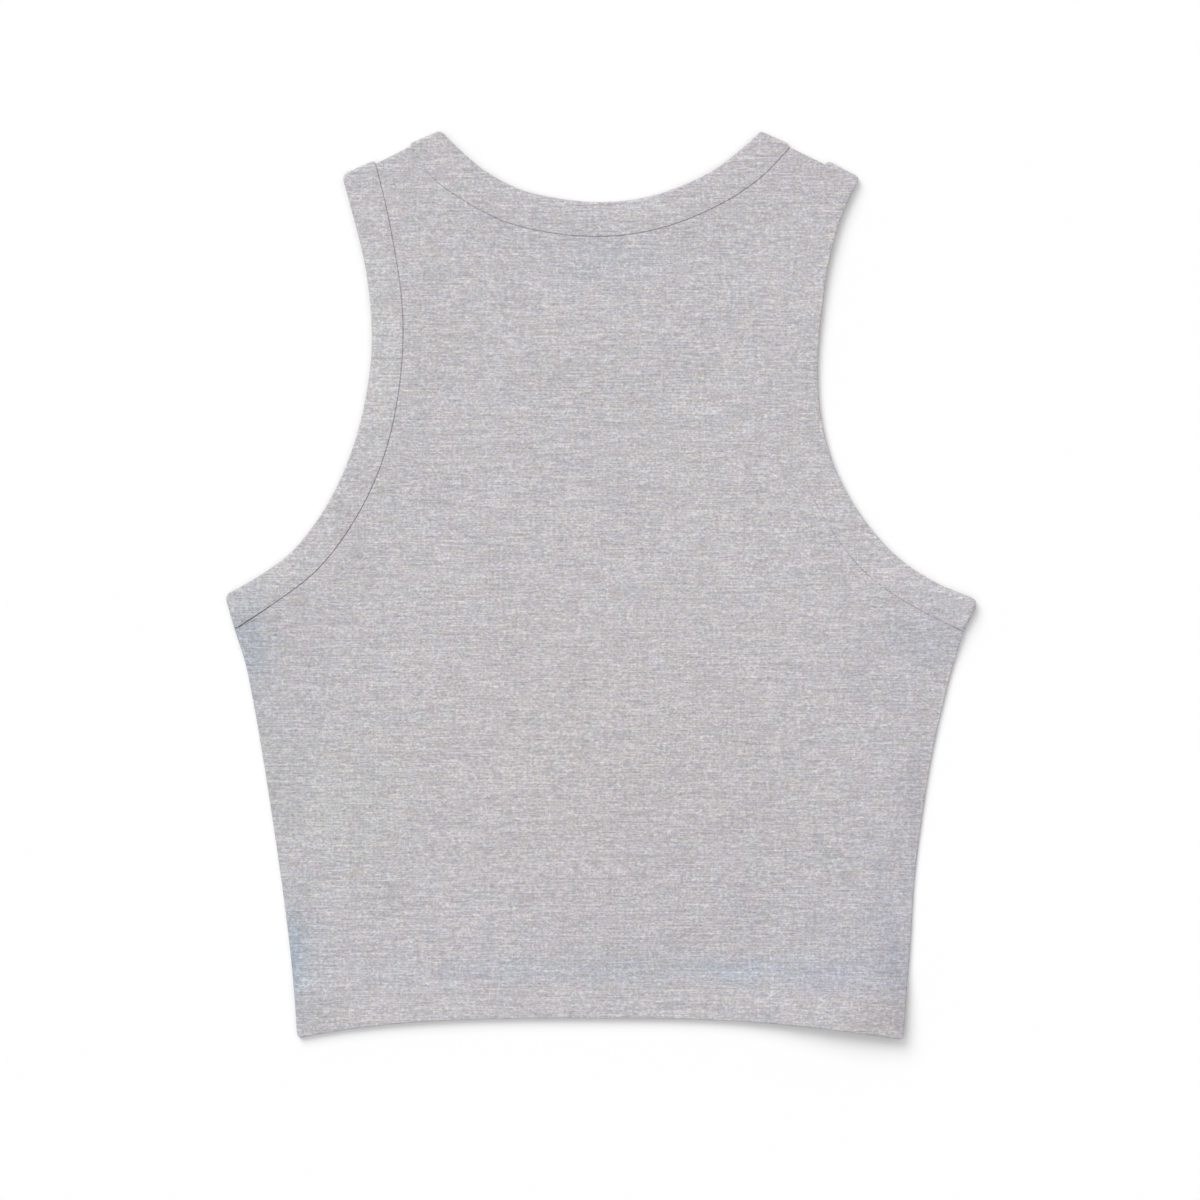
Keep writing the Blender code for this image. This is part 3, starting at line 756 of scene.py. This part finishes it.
def band_section(width, roll, crown):
    """A folded strip's closed section: distance from the seam and height above its middle, for each width.

    It rolls up out of the seam on a quarter circle, swells a little, goes round the fold on a half circle
    and comes back flat below.
    """
    half = BAND_THICKNESS / 2
    width, roll, crown = width[:, None], roll[:, None], crown[:, None]
    rolled = roll * (1.0 - np.cos(ROLL_ANGLES))
    rise = half - roll * (1.0 - np.sin(ROLL_ANGLES))
    flat = np.linspace(0.0, 1.0, BAND_COLUMNS + 1)[1:-1]
    between = mix(roll, width - half, flat)
    swell = half + crown * np.sin(np.pi * flat)
    edge = width - half + half * np.cos(BAND_EDGE_ANGLES)
    edge_height = np.broadcast_to(half * np.sin(BAND_EDGE_ANGLES), edge.shape)
    below = between[:, ::-2]
    start, low = np.zeros_like(width), np.full_like(width, -half)
    reach = np.hstack([rolled, between, edge, below, start + BAND_CHAMFER, start])
    flat_below = np.broadcast_to(-half, below.shape)
    height = np.hstack([rise, swell, edge_height, flat_below, low, low + BAND_CHAMFER])
    return reach, height


def band_mesh(upper, lower, sag, corners, creases, sizes):
    """A band folded double as a closed ring: its upper ply, a fold, its lower ply back and a fold."""
    top, start_out, end_out = upper
    under = lower[0][::-1]
    top_height = BAND_SPLIT + (BAND_THICKNESS + FOLD_GAP) / 2 - sag
    parts = (
        ply_stations(top, top_height, 1.0),
        fold_stations(top[-1], end_out),
        ply_stations(under, np.full(len(under), BAND_THICKNESS / 2), -1.0),
        tuple(values[::-1] for values in fold_stations(top[0], start_out)),
    )
    upper_crease, lower_crease = creases
    stretches = (
        (upper_crease, np.linspace(0.0, 1.0, len(top))),
        (upper_crease, np.ones(len(FOLD_ANGLES))),
        (lower_crease, np.linspace(1.0, 0.0, len(under))),
        (upper_crease, np.zeros(len(FOLD_ANGLES))),
    )
    along = np.concatenate([shares for _, shares in stretches])
    depth = np.concatenate([crease_at(crease, shares) for crease, shares in stretches])
    starts, ends = np.array([corners[0::2], corners[1::2]])
    edge_corner, seam_corner = mix(starts, ends, along[:, None]).T
    lines, heights, normals, from_end = (np.concatenate(values) for values in zip(*parts))
    edge, seam = lines[:, :2], lines[:, 2:]
    across = unit(edge - seam)
    start = half_gap(depth, sizes.seam_gap) + corner_pull(from_end, seam_corner)
    width = np.linalg.norm(edge - seam, axis=1) - corner_pull(from_end, edge_corner) - start
    roll = roll_radius(depth, sizes.seam_roll)
    crown = sizes.band_swell * np.clip(normals[:, 2], 0.0, 1.0)
    reach, level = band_section(width, roll, crown)
    plan = seam[:, None] + across[:, None] * (reach + start[:, None])[..., None]
    centre = np.concatenate([plan, np.broadcast_to(heights[:, None, None], plan.shape[:2] + (1,))], axis=2)
    points = centre + normals[:, None] * level[..., None]
    nearest = np.where(level < -BAND_THICKNESS / 4, FAR, reach)
    seams = np.stack(np.broadcast_arrays(nearest, depth[:, None], 0.0), axis=-1)
    faces = grid_faces(*points.shape[:2], rows_close=True, columns_close=True)
    points = points.reshape(-1, 3)
    return points, facing_out(points, faces), seams.reshape(-1, 3)


def add_object(name, data):
    """An object in the scene, at the origin."""
    made = bpy.data.objects.new(name, data)
    bpy.context.scene.collection.objects.link(made)
    return made


def new_piece(name, points, faces, material, seams=None):
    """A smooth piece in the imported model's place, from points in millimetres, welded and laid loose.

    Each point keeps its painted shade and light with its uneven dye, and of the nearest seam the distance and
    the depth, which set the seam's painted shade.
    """
    mesh = bpy.data.meshes.new(name)
    mesh.from_pydata((laid_loose(points) * MM).tolist(), [], faces.tolist())
    dye_and_shade_layer = mesh.attributes.new("dye_and_shade", "FLOAT_VECTOR", "POINT")
    dye_and_shade_layer.data.foreach_set("vector", dye_and_shade_at(points).astype(np.float32).ravel())
    if seams is not None:
        kept = mesh.attributes.new("seam", "FLOAT_VECTOR", "POINT")
        kept.data.foreach_set("vector", seams.astype(np.float32).ravel())
    welded = bmesh.new()
    welded.from_mesh(mesh)
    bmesh.ops.remove_doubles(welded, verts=welded.verts, dist=WELD * MM)
    welded.to_mesh(mesh)
    welded.free()
    mesh.shade_smooth()
    mesh.materials.append(material)
    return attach(add_object(name, mesh), "root")


def needle_line(panel, line, sizes):
    """The line on the outside of a panel's hem that one needle sews, from left to right."""
    row = FIRST_HEM_ROW + int(np.flatnonzero(HEM_ROWS == line)[0])
    left, right = (panel_face(panel, half, True, sizes)[0][row] for half in (LEFT, RIGHT))
    return np.concatenate([left[::-1], right[1:]])


def threads(starts, ends, radius, up):
    """Closed stitches from each start to each end: round, tapered and a little bowed out of the cloth."""
    share = np.linspace(0.0, 1.0, len(THREAD_TAPER))
    centres = mix(starts[:, None], ends[:, None], share[:, None])
    centres[..., 2] += up * radius * (np.sin(np.pi * share) - THREAD_DIP)
    centres[..., 2] = np.maximum(centres[..., 2], radius)
    across = unit((ends - starts)[:, :2] @ np.array([[0.0, 1.0], [-1.0, 0.0]]))
    across = np.hstack([across, np.zeros((len(across), 1))])[:, None, None]
    turns = np.linspace(0.0, 2.0 * np.pi, THREAD_SIDES, endpoint=False)[:, None]
    ring = across * np.cos(turns) + np.array([0.0, 0.0, 1.0]) * np.sin(turns)
    points = centres[:, :, None] + ring * (radius * THREAD_TAPER)[:, None, None]
    faces = grid_faces(len(share), THREAD_SIDES, columns_close=True)
    each = np.arange(len(starts))[:, None, None] * len(share) * THREAD_SIDES
    return points.reshape(-1, 3), (faces + each).reshape(-1, 4)


def hem_threads(panel, sizes):
    """A cover-stitched hem from outside: two needle lines, and slanted cover threads between them."""
    up = 1.0 if panel.is_back else -1.0
    lower, upper = (needle_line(panel, line, sizes) for line in NEEDLE_LINES)
    made = []
    for line in (lower, upper):
        at = np.arange(STITCH, arc_lengths(line)[-1] - 2.0 * STITCH, STITCH)
        made.append(threads(along_path(line, at), along_path(line, at + STITCH), THREAD, up))
    at = np.arange(STITCH, arc_lengths(lower)[-1] - 2.0 * STITCH, COVER_STITCH)
    made.append(threads(along_path(lower, at), along_path(upper, at + COVER_SLANT), COVER_THREAD, up))
    offsets = np.cumsum([0] + [len(points) for points, _ in made[:-1]])
    points = np.concatenate([points for points, _ in made])
    faces = np.concatenate([faces + offset for (_, faces), offset in zip(made, offsets)])
    return points, facing_out(points, faces)


def plan_area(points, faces):
    """Area that the faces cover in plan on one side, in square metres."""
    first, second, third, fourth = (points[faces[:, corner], :2] for corner in range(4))
    one, other = third - first, fourth - second
    crossed = (one[:, 0] * other[:, 1] - one[:, 1] * other[:, 0]) / 2
    return np.sum(np.clip(crossed, 0.0, None)) * MM**2


def add_panel(name, node, panel, sizes, material):
    """A cut panel from its two halves, which the weld joins along the centre line."""
    (left, left_faces, left_seams), (right, right_faces, right_seams) = (
        half_panel(panel, half, sizes) for half in (LEFT, RIGHT)
    )
    points, faces = np.concatenate([left, right]), np.concatenate([left_faces, right_faces + len(left)])
    piece = new_piece(name, points, faces, material, np.concatenate([left_seams, right_seams]))
    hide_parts(node)
    size = np.ptp(points[:, :2], axis=0) * MM
    return piece, size, plan_area(points, faces)


def add_band(name, node, upper, lower, sag, corners, creases, sizes, material):
    """A binding, returned with the length all round and the width that shows."""
    points, faces, seams = band_mesh(upper, lower, sag, corners, creases, sizes)
    piece = new_piece(name, points, faces, material, seams)
    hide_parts(node)
    middles = [(rows[0][:, :2] + rows[0][:, 2:]) / 2 for rows in (upper, lower)]
    length = sum(arc_lengths(middle)[-1] for middle in middles) + np.pi * BAND_STACK / 2
    width = np.mean(np.linalg.norm(upper[0][:, :2] - upper[0][:, 2:], axis=1))
    return piece, (float(length * MM), float(width * MM))


def linear(hex_colour):
    """Linear RGBA of an sRGB hex colour: a low channel is divided, a high one goes through the sRGB power."""
    channels = np.array([int(hex_colour[i : i + 2], 16) / 255 for i in (1, 3, 5)])
    channels = np.where(channels <= 0.04045, channels / 12.92, ((channels + 0.055) / 1.055) ** 2.4)
    return (*channels.tolist(), 1.0)


def add_node(tree, kind, inputs, **settings):
    """Adds a node with its settings, and fills its inputs with values or links."""
    node = tree.nodes.new(kind)
    for name, value in settings.items():
        setattr(node, name, value)
    for socket, value in inputs.items():
        if isinstance(value, bpy.types.NodeSocket):
            tree.links.new(value, node.inputs[socket])
        else:
            node.inputs[socket].default_value = value
    return node


def new_material(name, finish):
    """A material with these values on its shader's own sockets, and that shader."""
    material = bpy.data.materials.new(name)
    material.use_nodes = True
    shader = material.node_tree.nodes["Principled BSDF"]
    for socket, value in finish.items():
        shader.inputs[socket].default_value = value
    return material, shader


# A layer of the melange: the size of its flecks along and across the courses, how strong it is and how fine
Flecks = namedtuple("Flecks", "along across strength detail")
MELANGE = (
    Flecks(1.5, 0.95, 0.72, 2.0),
    Flecks(6.0, 0.7, 0.43, 1.0),
    Flecks(32.0, 0.7, 0.38, 1.0),
    Flecks(1.0, 16.0, 0.14, 1.0),
)
# Single fibres that curl over the loops: the size of a curl, how wide it is as a share, and its strength
Fibres = namedtuple("Fibres", "size width strength")
FIBRES = (Fibres(3.2, 0.03, 0.1), Fibres(4.3, 0.02, -0.05))
PINK_FLECK = Flecks(9.0, 9.0, 0.08, 2.0)
BLUE_FLECK = Flecks(6.0, 2.2, 0.125, 2.0)
FLECK_SHIFT = 0.37  # share of its flecks' size by which a layer is moved up, so that no two layers meet
FLECK_ROUGHNESS = 0.6
WALE = 1.3  # real wales are about 0.7 mm apart, drawn coarser so that they show
COURSE = 1.0
LOOP_SHARE = 0.15  # of the relief, beside that of the flecks
RELIEF_HEIGHT = 0.3


def fleck_noise(tree, place, along, across, detail=1.0):
    """Soft noise whose flecks are this long and this wide in millimetres."""
    scale = [1.0 / (size * MM) for size in (along, across, across)]
    shift = (along, across, FLECK_SHIFT * (along + across))
    stretched = add_node(tree, "ShaderNodeMapping", {"Vector": place, "Location": shift, "Scale": scale})
    inputs = {"Vector": stretched.outputs[0], "Scale": 1.0, "Detail": detail, "Roughness": FLECK_ROUGHNESS}
    return add_node(tree, "ShaderNodeTexNoise", inputs).outputs[0]


def melange(tree, place):
    """Share of undyed yarn: 0.5, plus each layer of flecks, plus a thin line wherever the noise of the fibres
    is near its middle."""
    value = 0.5 - sum(flecks.strength for flecks in MELANGE) / 2
    for flecks in MELANGE:
        noise = fleck_noise(tree, place, flecks.along, flecks.across, flecks.detail)
        added = {0: noise, 1: flecks.strength, 2: value}
        value = add_node(tree, "ShaderNodeMath", added, operation="MULTIPLY_ADD").outputs[0]
    for fibres in FIBRES:
        noise = fleck_noise(tree, place, fibres.size, fibres.size)
        line = add_node(tree, "ShaderNodeMath", {0: noise, 1: 0.5, 2: fibres.width}, operation="COMPARE")
        added = {0: line.outputs[0], 1: fibres.strength, 2: value}
        value = add_node(tree, "ShaderNodeMath", added, operation="MULTIPLY_ADD").outputs[0]
    return value


def heather_jersey(name, jersey):
    """Cotton and polyester melange, knitted as single jersey and brushed a little: matt and soft, in fine
    light and dark flecks that run along the courses."""
    finish = {
        "Roughness": 0.92,
        "Specular IOR Level": 0.25,
        "Sheen Weight": jersey.fuzz,
        "Sheen Roughness": 0.6,
    }
    material, shader = new_material(name, finish)
    tree = material.node_tree
    place = add_node(tree, "ShaderNodeTexCoord", {}).outputs["Object"]
    value = melange(tree, place)
    ramp = add_node(tree, "ShaderNodeValToRGB", {"Fac": value})
    stops = ramp.color_ramp.elements
    stops[0].color, stops[1].color = jersey.dark_yarn, jersey.light_yarn
    stops.new(0.5).color = jersey.yarn
    pink = fleck_noise(tree, place, PINK_FLECK.along, PINK_FLECK.across, PINK_FLECK.detail)
    blue = fleck_noise(tree, place, BLUE_FLECK.along, BLUE_FLECK.across, BLUE_FLECK.detail)
    dye = add_node(tree, "ShaderNodeCombineXYZ", {0: pink, 1: 0.5, 2: blue})
    centred = add_node(tree, "ShaderNodeVectorMath", {0: dye.outputs[0], 1: (0.5,) * 3}, operation="SUBTRACT")
    strengths = np.array([PINK_FLECK.strength, 0.0, BLUE_FLECK.strength]) * jersey.unevenness
    uneven = {0: centred.outputs[0], 1: strengths, 2: ramp.outputs["Color"]}
    dyed = add_node(tree, "ShaderNodeVectorMath", uneven, operation="MULTIPLY_ADD")
    # The spots' painted shade and light with the uneven dye, and then the seams' painted shade, multiply the
    # yarn's colour
    dye_and_shade = add_node(tree, "ShaderNodeAttribute", {}, attribute_name="dye_and_shade").outputs["Vector"]
    dyed_and_shaded = add_node(tree, "ShaderNodeVectorMath", {0: dyed.outputs[0], 1: dye_and_shade}, operation="MULTIPLY")
    shaded = {"Factor": seam_shade(tree, jersey), 6: dyed_and_shaded.outputs[0], 7: jersey.seam}
    shaded = add_node(tree, "ShaderNodeMix", shaded, data_type="RGBA", blend_type="MULTIPLY")
    tree.links.new(shaded.outputs[2], shader.inputs["Base Color"])
    tree.links.new(knit_relief(tree, place, value, jersey), shader.inputs["Normal"])
    return material


def seam_shade(tree, jersey):
    """How much painted shade lies in a seam: its depth at the seam itself, falling evenly to nothing."""
    seam = add_node(tree, "ShaderNodeAttribute", {}, attribute_name="seam").outputs["Vector"]
    parts = add_node(tree, "ShaderNodeSeparateXYZ", {0: seam}).outputs
    reach = {"Value": parts["X"], "From Min": jersey.seam_reach / MM, "From Max": 0.0}
    near = add_node(tree, "ShaderNodeMapRange", reach).outputs["Result"]
    return add_node(tree, "ShaderNodeMath", {0: near, 1: parts["Y"]}, operation="MULTIPLY").outputs[0]


def knit_relief(tree, place, flecks, jersey):
    """Normal of single jersey: the sine of the courses, bent into a V by the triangle wave of the wales."""
    axes = add_node(tree, "ShaderNodeSeparateXYZ", {0: place})
    sides = {0: axes.outputs["X"], 1: 2.0 / (WALE * MM)}
    across = add_node(tree, "ShaderNodeMath", sides, operation="MULTIPLY")
    wale = add_node(tree, "ShaderNodeMath", {0: across.outputs[0], 1: 1.0}, operation="PINGPONG")
    bend = add_node(tree, "ShaderNodeMath", {0: wale.outputs[0], 1: np.pi}, operation="MULTIPLY")
    course = {0: axes.outputs["Y"], 1: 2.0 * np.pi / (COURSE * MM), 2: bend.outputs[0]}
    phase = add_node(tree, "ShaderNodeMath", course, operation="MULTIPLY_ADD")
    loops = add_node(tree, "ShaderNodeMath", {0: phase.outputs[0]}, operation="SINE")
    height = {0: loops.outputs[0], 1: LOOP_SHARE, 2: flecks}
    relief = add_node(tree, "ShaderNodeMath", height, operation="MULTIPLY_ADD")
    bump = {"Height": relief.outputs[0], "Strength": jersey.relief, "Distance": RELIEF_HEIGHT * MM}
    return add_node(tree, "ShaderNodeBump", bump).outputs["Normal"]


def material_of(name, jersey):
    """The named jersey, made once."""
    return bpy.data.materials.get(name) or heather_jersey(name, jersey)


def spun_thread(name, jersey):
    """Spun polyester sewing thread, dyed to match: its twist is too fine to draw and left out."""
    finish = {
        "Base Color": jersey.thread,
        "Roughness": 0.7,
        "Specular IOR Level": 0.3,
        "Sheen Weight": jersey.fuzz,
    }
    return new_material(name, finish)[0]


# The stage, in metres: a floor of nine squares that reaches the horizon, and a camera high above the cloth
FLOOR_REACH = 120.0
FLOOR_MIDDLE = 3.0
FLOOR_DROP = 0.00005  # the floor lies just clear of the cloth
STRAIGHT_DOWN = (0.0, 0.0, -1.0)
CAMERA_X = -0.00096
CAMERA_Y = -0.00755
LENS = 135.0  # in millimetres, like the sensor
SENSOR = 36.0


def smooth_paper(colour):
    """White paper, smooth and quite matt, so that it takes the light evenly."""
    finish = {"Base Color": colour, "Roughness": 1.0, "Specular IOR Level": 0.0}
    return new_material("white_paper_smooth", finish)[0]


def add_floor(colour):
    """A level sheet on four lines each way, whose middle square has corners of its own."""
    lines = np.array([-FLOOR_REACH, -FLOOR_MIDDLE, FLOOR_MIDDLE, FLOOR_REACH])
    x, y = np.meshgrid(lines, lines)
    corners = np.stack([x, y, np.full_like(x, -FLOOR_DROP)], axis=-1).reshape(-1, 3)
    mesh = bpy.data.meshes.new("floor")
    mesh.from_pydata(corners.tolist(), [], grid_faces(len(lines), len(lines)).tolist())
    mesh.materials.append(smooth_paper(colour))
    add_object("floor", mesh)


def add_sun(name, strength, spread, way):
    """A light from far away that fills an angle of the sky and shines in one direction."""
    sun = bpy.data.lights.new(name, "SUN")
    sun.energy, sun.angle = strength, spread
    add_object(name, sun).rotation_euler = Vector(way).to_track_quat("-Z", "Y").to_euler()


def add_camera(height):
    """A long lens that looks straight down."""
    lens = bpy.data.cameras.new("camera")
    lens.lens, lens.sensor_width = LENS, SENSOR
    camera = add_object("camera", lens)
    camera.location = (CAMERA_X, CAMERA_Y, height)
    bpy.context.scene.camera = camera


def fill_all_round(strength):
    """White light from every side, and colours shown as they are."""
    world = bpy.data.worlds.new("studio")
    world.use_nodes = True
    background = world.node_tree.nodes["Background"]
    background.inputs["Color"].default_value = (1.0, 1.0, 1.0, 1.0)
    background.inputs["Strength"].default_value = strength
    bpy.context.scene.world = world
    bpy.context.scene.view_settings.view_transform = "Standard"


class TankTopSewing(bpy.types.PropertyGroup):
    """Sizes of the cloth and its seams."""

    cloth: bpy.props.FloatProperty(
        name="Cloth thickness", description="One layer of jersey", default=0.0008, unit="LENGTH"
    )
    seam_gap: bpy.props.FloatProperty(
        name="Seam gap", description="Between two sewn pieces", default=0.00008, unit="LENGTH"
    )
    seam_roll: bpy.props.FloatProperty(
        name="Seam roll", description="Radius of cloth that turns into a seam", default=0.00032, unit="LENGTH"
    )
    band_swell: bpy.props.FloatProperty(
        name="Band swell", description="Rise of a folded band in its middle", default=0.0002, unit="LENGTH"
    )


class TankTopJersey(bpy.types.PropertyGroup):
    """Colours and surface of the melange jersey."""

    yarn: bpy.props.FloatVectorProperty(
        name="Yarn", description="Middle of the melange", subtype="COLOR", size=4, default=linear("#BAB7BA")
    )
    light_yarn: bpy.props.FloatVectorProperty(
        name="Light yarn", description="Undyed fibres", subtype="COLOR", size=4, default=linear("#F3F1F2")
    )
    dark_yarn: bpy.props.FloatVectorProperty(
        name="Dark yarn", description="Dyed fibres", subtype="COLOR", size=4, default=linear("#78777E")
    )
    thread: bpy.props.FloatVectorProperty(
        name="Thread", description="Sewing thread", subtype="COLOR", size=4, default=linear("#D4D1D3")
    )
    # The colour factor of the painted shade in a full seam
    seam: bpy.props.FloatVectorProperty(
        name="Seam",
        description="Colour factor in a full seam",
        subtype="COLOR",
        size=4,
        default=(0.55, 0.5, 0.54, 1.0),
    )
    # Width of the seam's painted shade on each side
    seam_reach: bpy.props.FloatProperty(
        name="Seam reach", description="Width of the dark line on each side", default=0.0005, unit="LENGTH"
    )
    unevenness: bpy.props.FloatProperty(
        name="Unevenness", description="Strength of the faint coloured flecks in the dye", default=1.0
    )
    fuzz: bpy.props.FloatProperty(
        name="Fuzz", description="Soft shine of the brushed fibres", default=0.2, subtype="FACTOR"
    )
    relief: bpy.props.FloatProperty(
        name="Knit relief", description="Depth of the loops", default=0.2, subtype="FACTOR"
    )


class TankTopStage(bpy.types.PropertyGroup):
    """Floor, light and camera."""

    floor: bpy.props.FloatVectorProperty(
        name="Floor", description="White paper", subtype="COLOR", size=4, default=(0.94, 0.94, 0.94, 1.0)
    )
    key: bpy.props.FloatProperty(name="Key light", description="Strength of the side light", default=1.7)
    key_way: bpy.props.FloatVectorProperty(
        name="Key direction",
        description="Way in which the key light shines",
        subtype="DIRECTION",
        default=(0.6, -0.93, -1.0),
    )
    key_spread: bpy.props.FloatProperty(
        name="Key spread", description="Angle that the key light fills", subtype="ANGLE", default=0.7
    )
    top: bpy.props.FloatProperty(name="Top light", description="Strength of the light overhead", default=1.19)
    top_spread: bpy.props.FloatProperty(
        name="Top spread", description="Angle that the top light fills", subtype="ANGLE", default=1.7
    )
    fill: bpy.props.FloatProperty(name="Fill light", description="Strength all round", default=0.32)
    camera_height: bpy.props.FloatProperty(
        name="Camera height", description="Above the surface", default=2.283, unit="LENGTH"
    )


class TANKTOP_OT_panels(bpy.types.Operator):
    """Make the back and the front panel"""

    bl_idname = "tanktop.panels"
    bl_label = "Panels"

    def execute(self, context):
        sizes = in_millimetres(context.scene.tank_top_sewing)
        material = material_of("heather_jersey_knitted", context.scene.tank_top_jersey)
        back_arms, front_arms = (LEFT.arm, RIGHT.arm), (front_arm(LEFT.arm), front_arm(RIGHT.arm))
        back_creases, front_creases = (LEFT_ARM_CREASE, RIGHT_ARM_CREASE), (EVEN_CREASE, EVEN_CREASE)
        back = Panel(BACK_NECK_BAND, BACK_NECK_CELLS, BACK_NECK_CREASE, back_arms, back_creases, True)
        front = Panel(front_neck(), FRONT_NECK_CELLS, EVEN_CREASE, front_arms, front_creases, False)
        thread = spun_thread("polyester_thread_spun", context.scene.tank_top_jersey)
        for name, node, panel, under, seam in (
            ("back_cloth", "back_panel", back, ["front_panel"], "hem_stitching_back"),
            ("front_cloth", "front_panel", front, ["floor"], "hem_stitching_front"),
        ):
            piece, size, area = add_panel(name, node, panel, sizes, material)
            stitching = new_piece(seam, *hem_threads(panel, sizes), thread)
        return {"FINISHED"}


class TANKTOP_OT_neck_binding(bpy.types.Operator):
    """Make the binding round the neck"""

    bl_idname = "tanktop.neck_binding"
    bl_label = "Neck binding"

    def execute(self, context):
        sizes = in_millimetres(context.scene.tank_top_sewing)
        material = material_of("heather_jersey_folded", context.scene.tank_top_jersey)
        upper = stations(BACK_NECK_BAND, BACK_NECK_CELLS * BAND_REFINEMENT)
        lower = stations(front_neck(), FRONT_NECK_CELLS * BAND_REFINEMENT)
        sag, creases = neck_sag(upper[0][:, 2]), (BACK_NECK_CREASE, EVEN_CREASE)
        piece, flat = add_band(
            "neck_binding", "neck_band", upper, lower, sag, NECK_CORNERS, creases, sizes, material
        )
        return {"FINISHED"}


class TANKTOP_OT_arm_bindings(bpy.types.Operator):
    """Make the bindings round both armholes"""

    bl_idname = "tanktop.arm_bindings"
    bl_label = "Arm bindings"

    def execute(self, context):
        sizes = in_millimetres(context.scene.tank_top_sewing)
        material = material_of("heather_jersey_folded", context.scene.tank_top_jersey)
        for name, node, rows, corners, crease in (
            ("arm_binding_left", "arm_band_left", LEFT.arm, LEFT_ARM_CORNERS, LEFT_ARM_CREASE),
            ("arm_binding_right", "arm_band_right", RIGHT.arm, RIGHT_ARM_CORNERS, RIGHT_ARM_CREASE),
        ):
            cells = ARM_CELLS * BAND_REFINEMENT
            upper, lower = stations(rows, cells), stations(front_arm(rows), cells)
            creases, sag = (crease, EVEN_CREASE), np.zeros(cells + 1)
            piece, flat = add_band(name, node, upper, lower, sag, corners, creases, sizes, material)
        return {"FINISHED"}


class TANKTOP_OT_stage(bpy.types.Operator):
    """Make the floor, the lights and the camera"""

    bl_idname = "tanktop.stage"
    bl_label = "Stage"

    def execute(self, context):
        stage = context.scene.tank_top_stage
        add_floor(stage.floor)
        add_sun("key", stage.key, stage.key_spread, stage.key_way)
        add_sun("top", stage.top, stage.top_spread, STRAIGHT_DOWN)
        fill_all_round(stage.fill)
        add_camera(stage.camera_height)
        return {"FINISHED"}


class TANKTOP_PT_sidebar(bpy.types.Panel):
    """Lists the pieces and their settings"""

    bl_idname = "TANKTOP_PT_sidebar"
    bl_label = "Cropped Tank Top"
    bl_space_type = "VIEW_3D"
    bl_region_type = "UI"
    bl_category = "Tank Top"

    def draw(self, context):
        for name in SETTINGS:
            group = getattr(context.scene, name)
            box = self.layout.box()
            for setting in own_settings(group):
                box.prop(group, setting.identifier)
        for operator in OPERATORS:
            self.layout.operator(operator.bl_idname)


SETTINGS = {
    "tank_top_sewing": TankTopSewing,
    "tank_top_jersey": TankTopJersey,
    "tank_top_stage": TankTopStage,
}
OPERATORS = (TANKTOP_OT_panels, TANKTOP_OT_neck_binding, TANKTOP_OT_arm_bindings, TANKTOP_OT_stage)


def register():
    for name, group in SETTINGS.items():
        bpy.utils.register_class(group)
        setattr(bpy.types.Scene, name, bpy.props.PointerProperty(type=group))
    for made in (*OPERATORS, TANKTOP_PT_sidebar):
        bpy.utils.register_class(made)


def unregister():
    for made in (TANKTOP_PT_sidebar, *reversed(OPERATORS)):
        bpy.utils.unregister_class(made)
    for name, group in reversed(SETTINGS.items()):
        delattr(bpy.types.Scene, name)
        bpy.utils.unregister_class(group)


def main():
    register()
    bpy.ops.tanktop.panels()
    bpy.ops.tanktop.neck_binding()
    bpy.ops.tanktop.arm_bindings()
    bpy.ops.tanktop.stage()


if __name__ == "__main__":
    main()
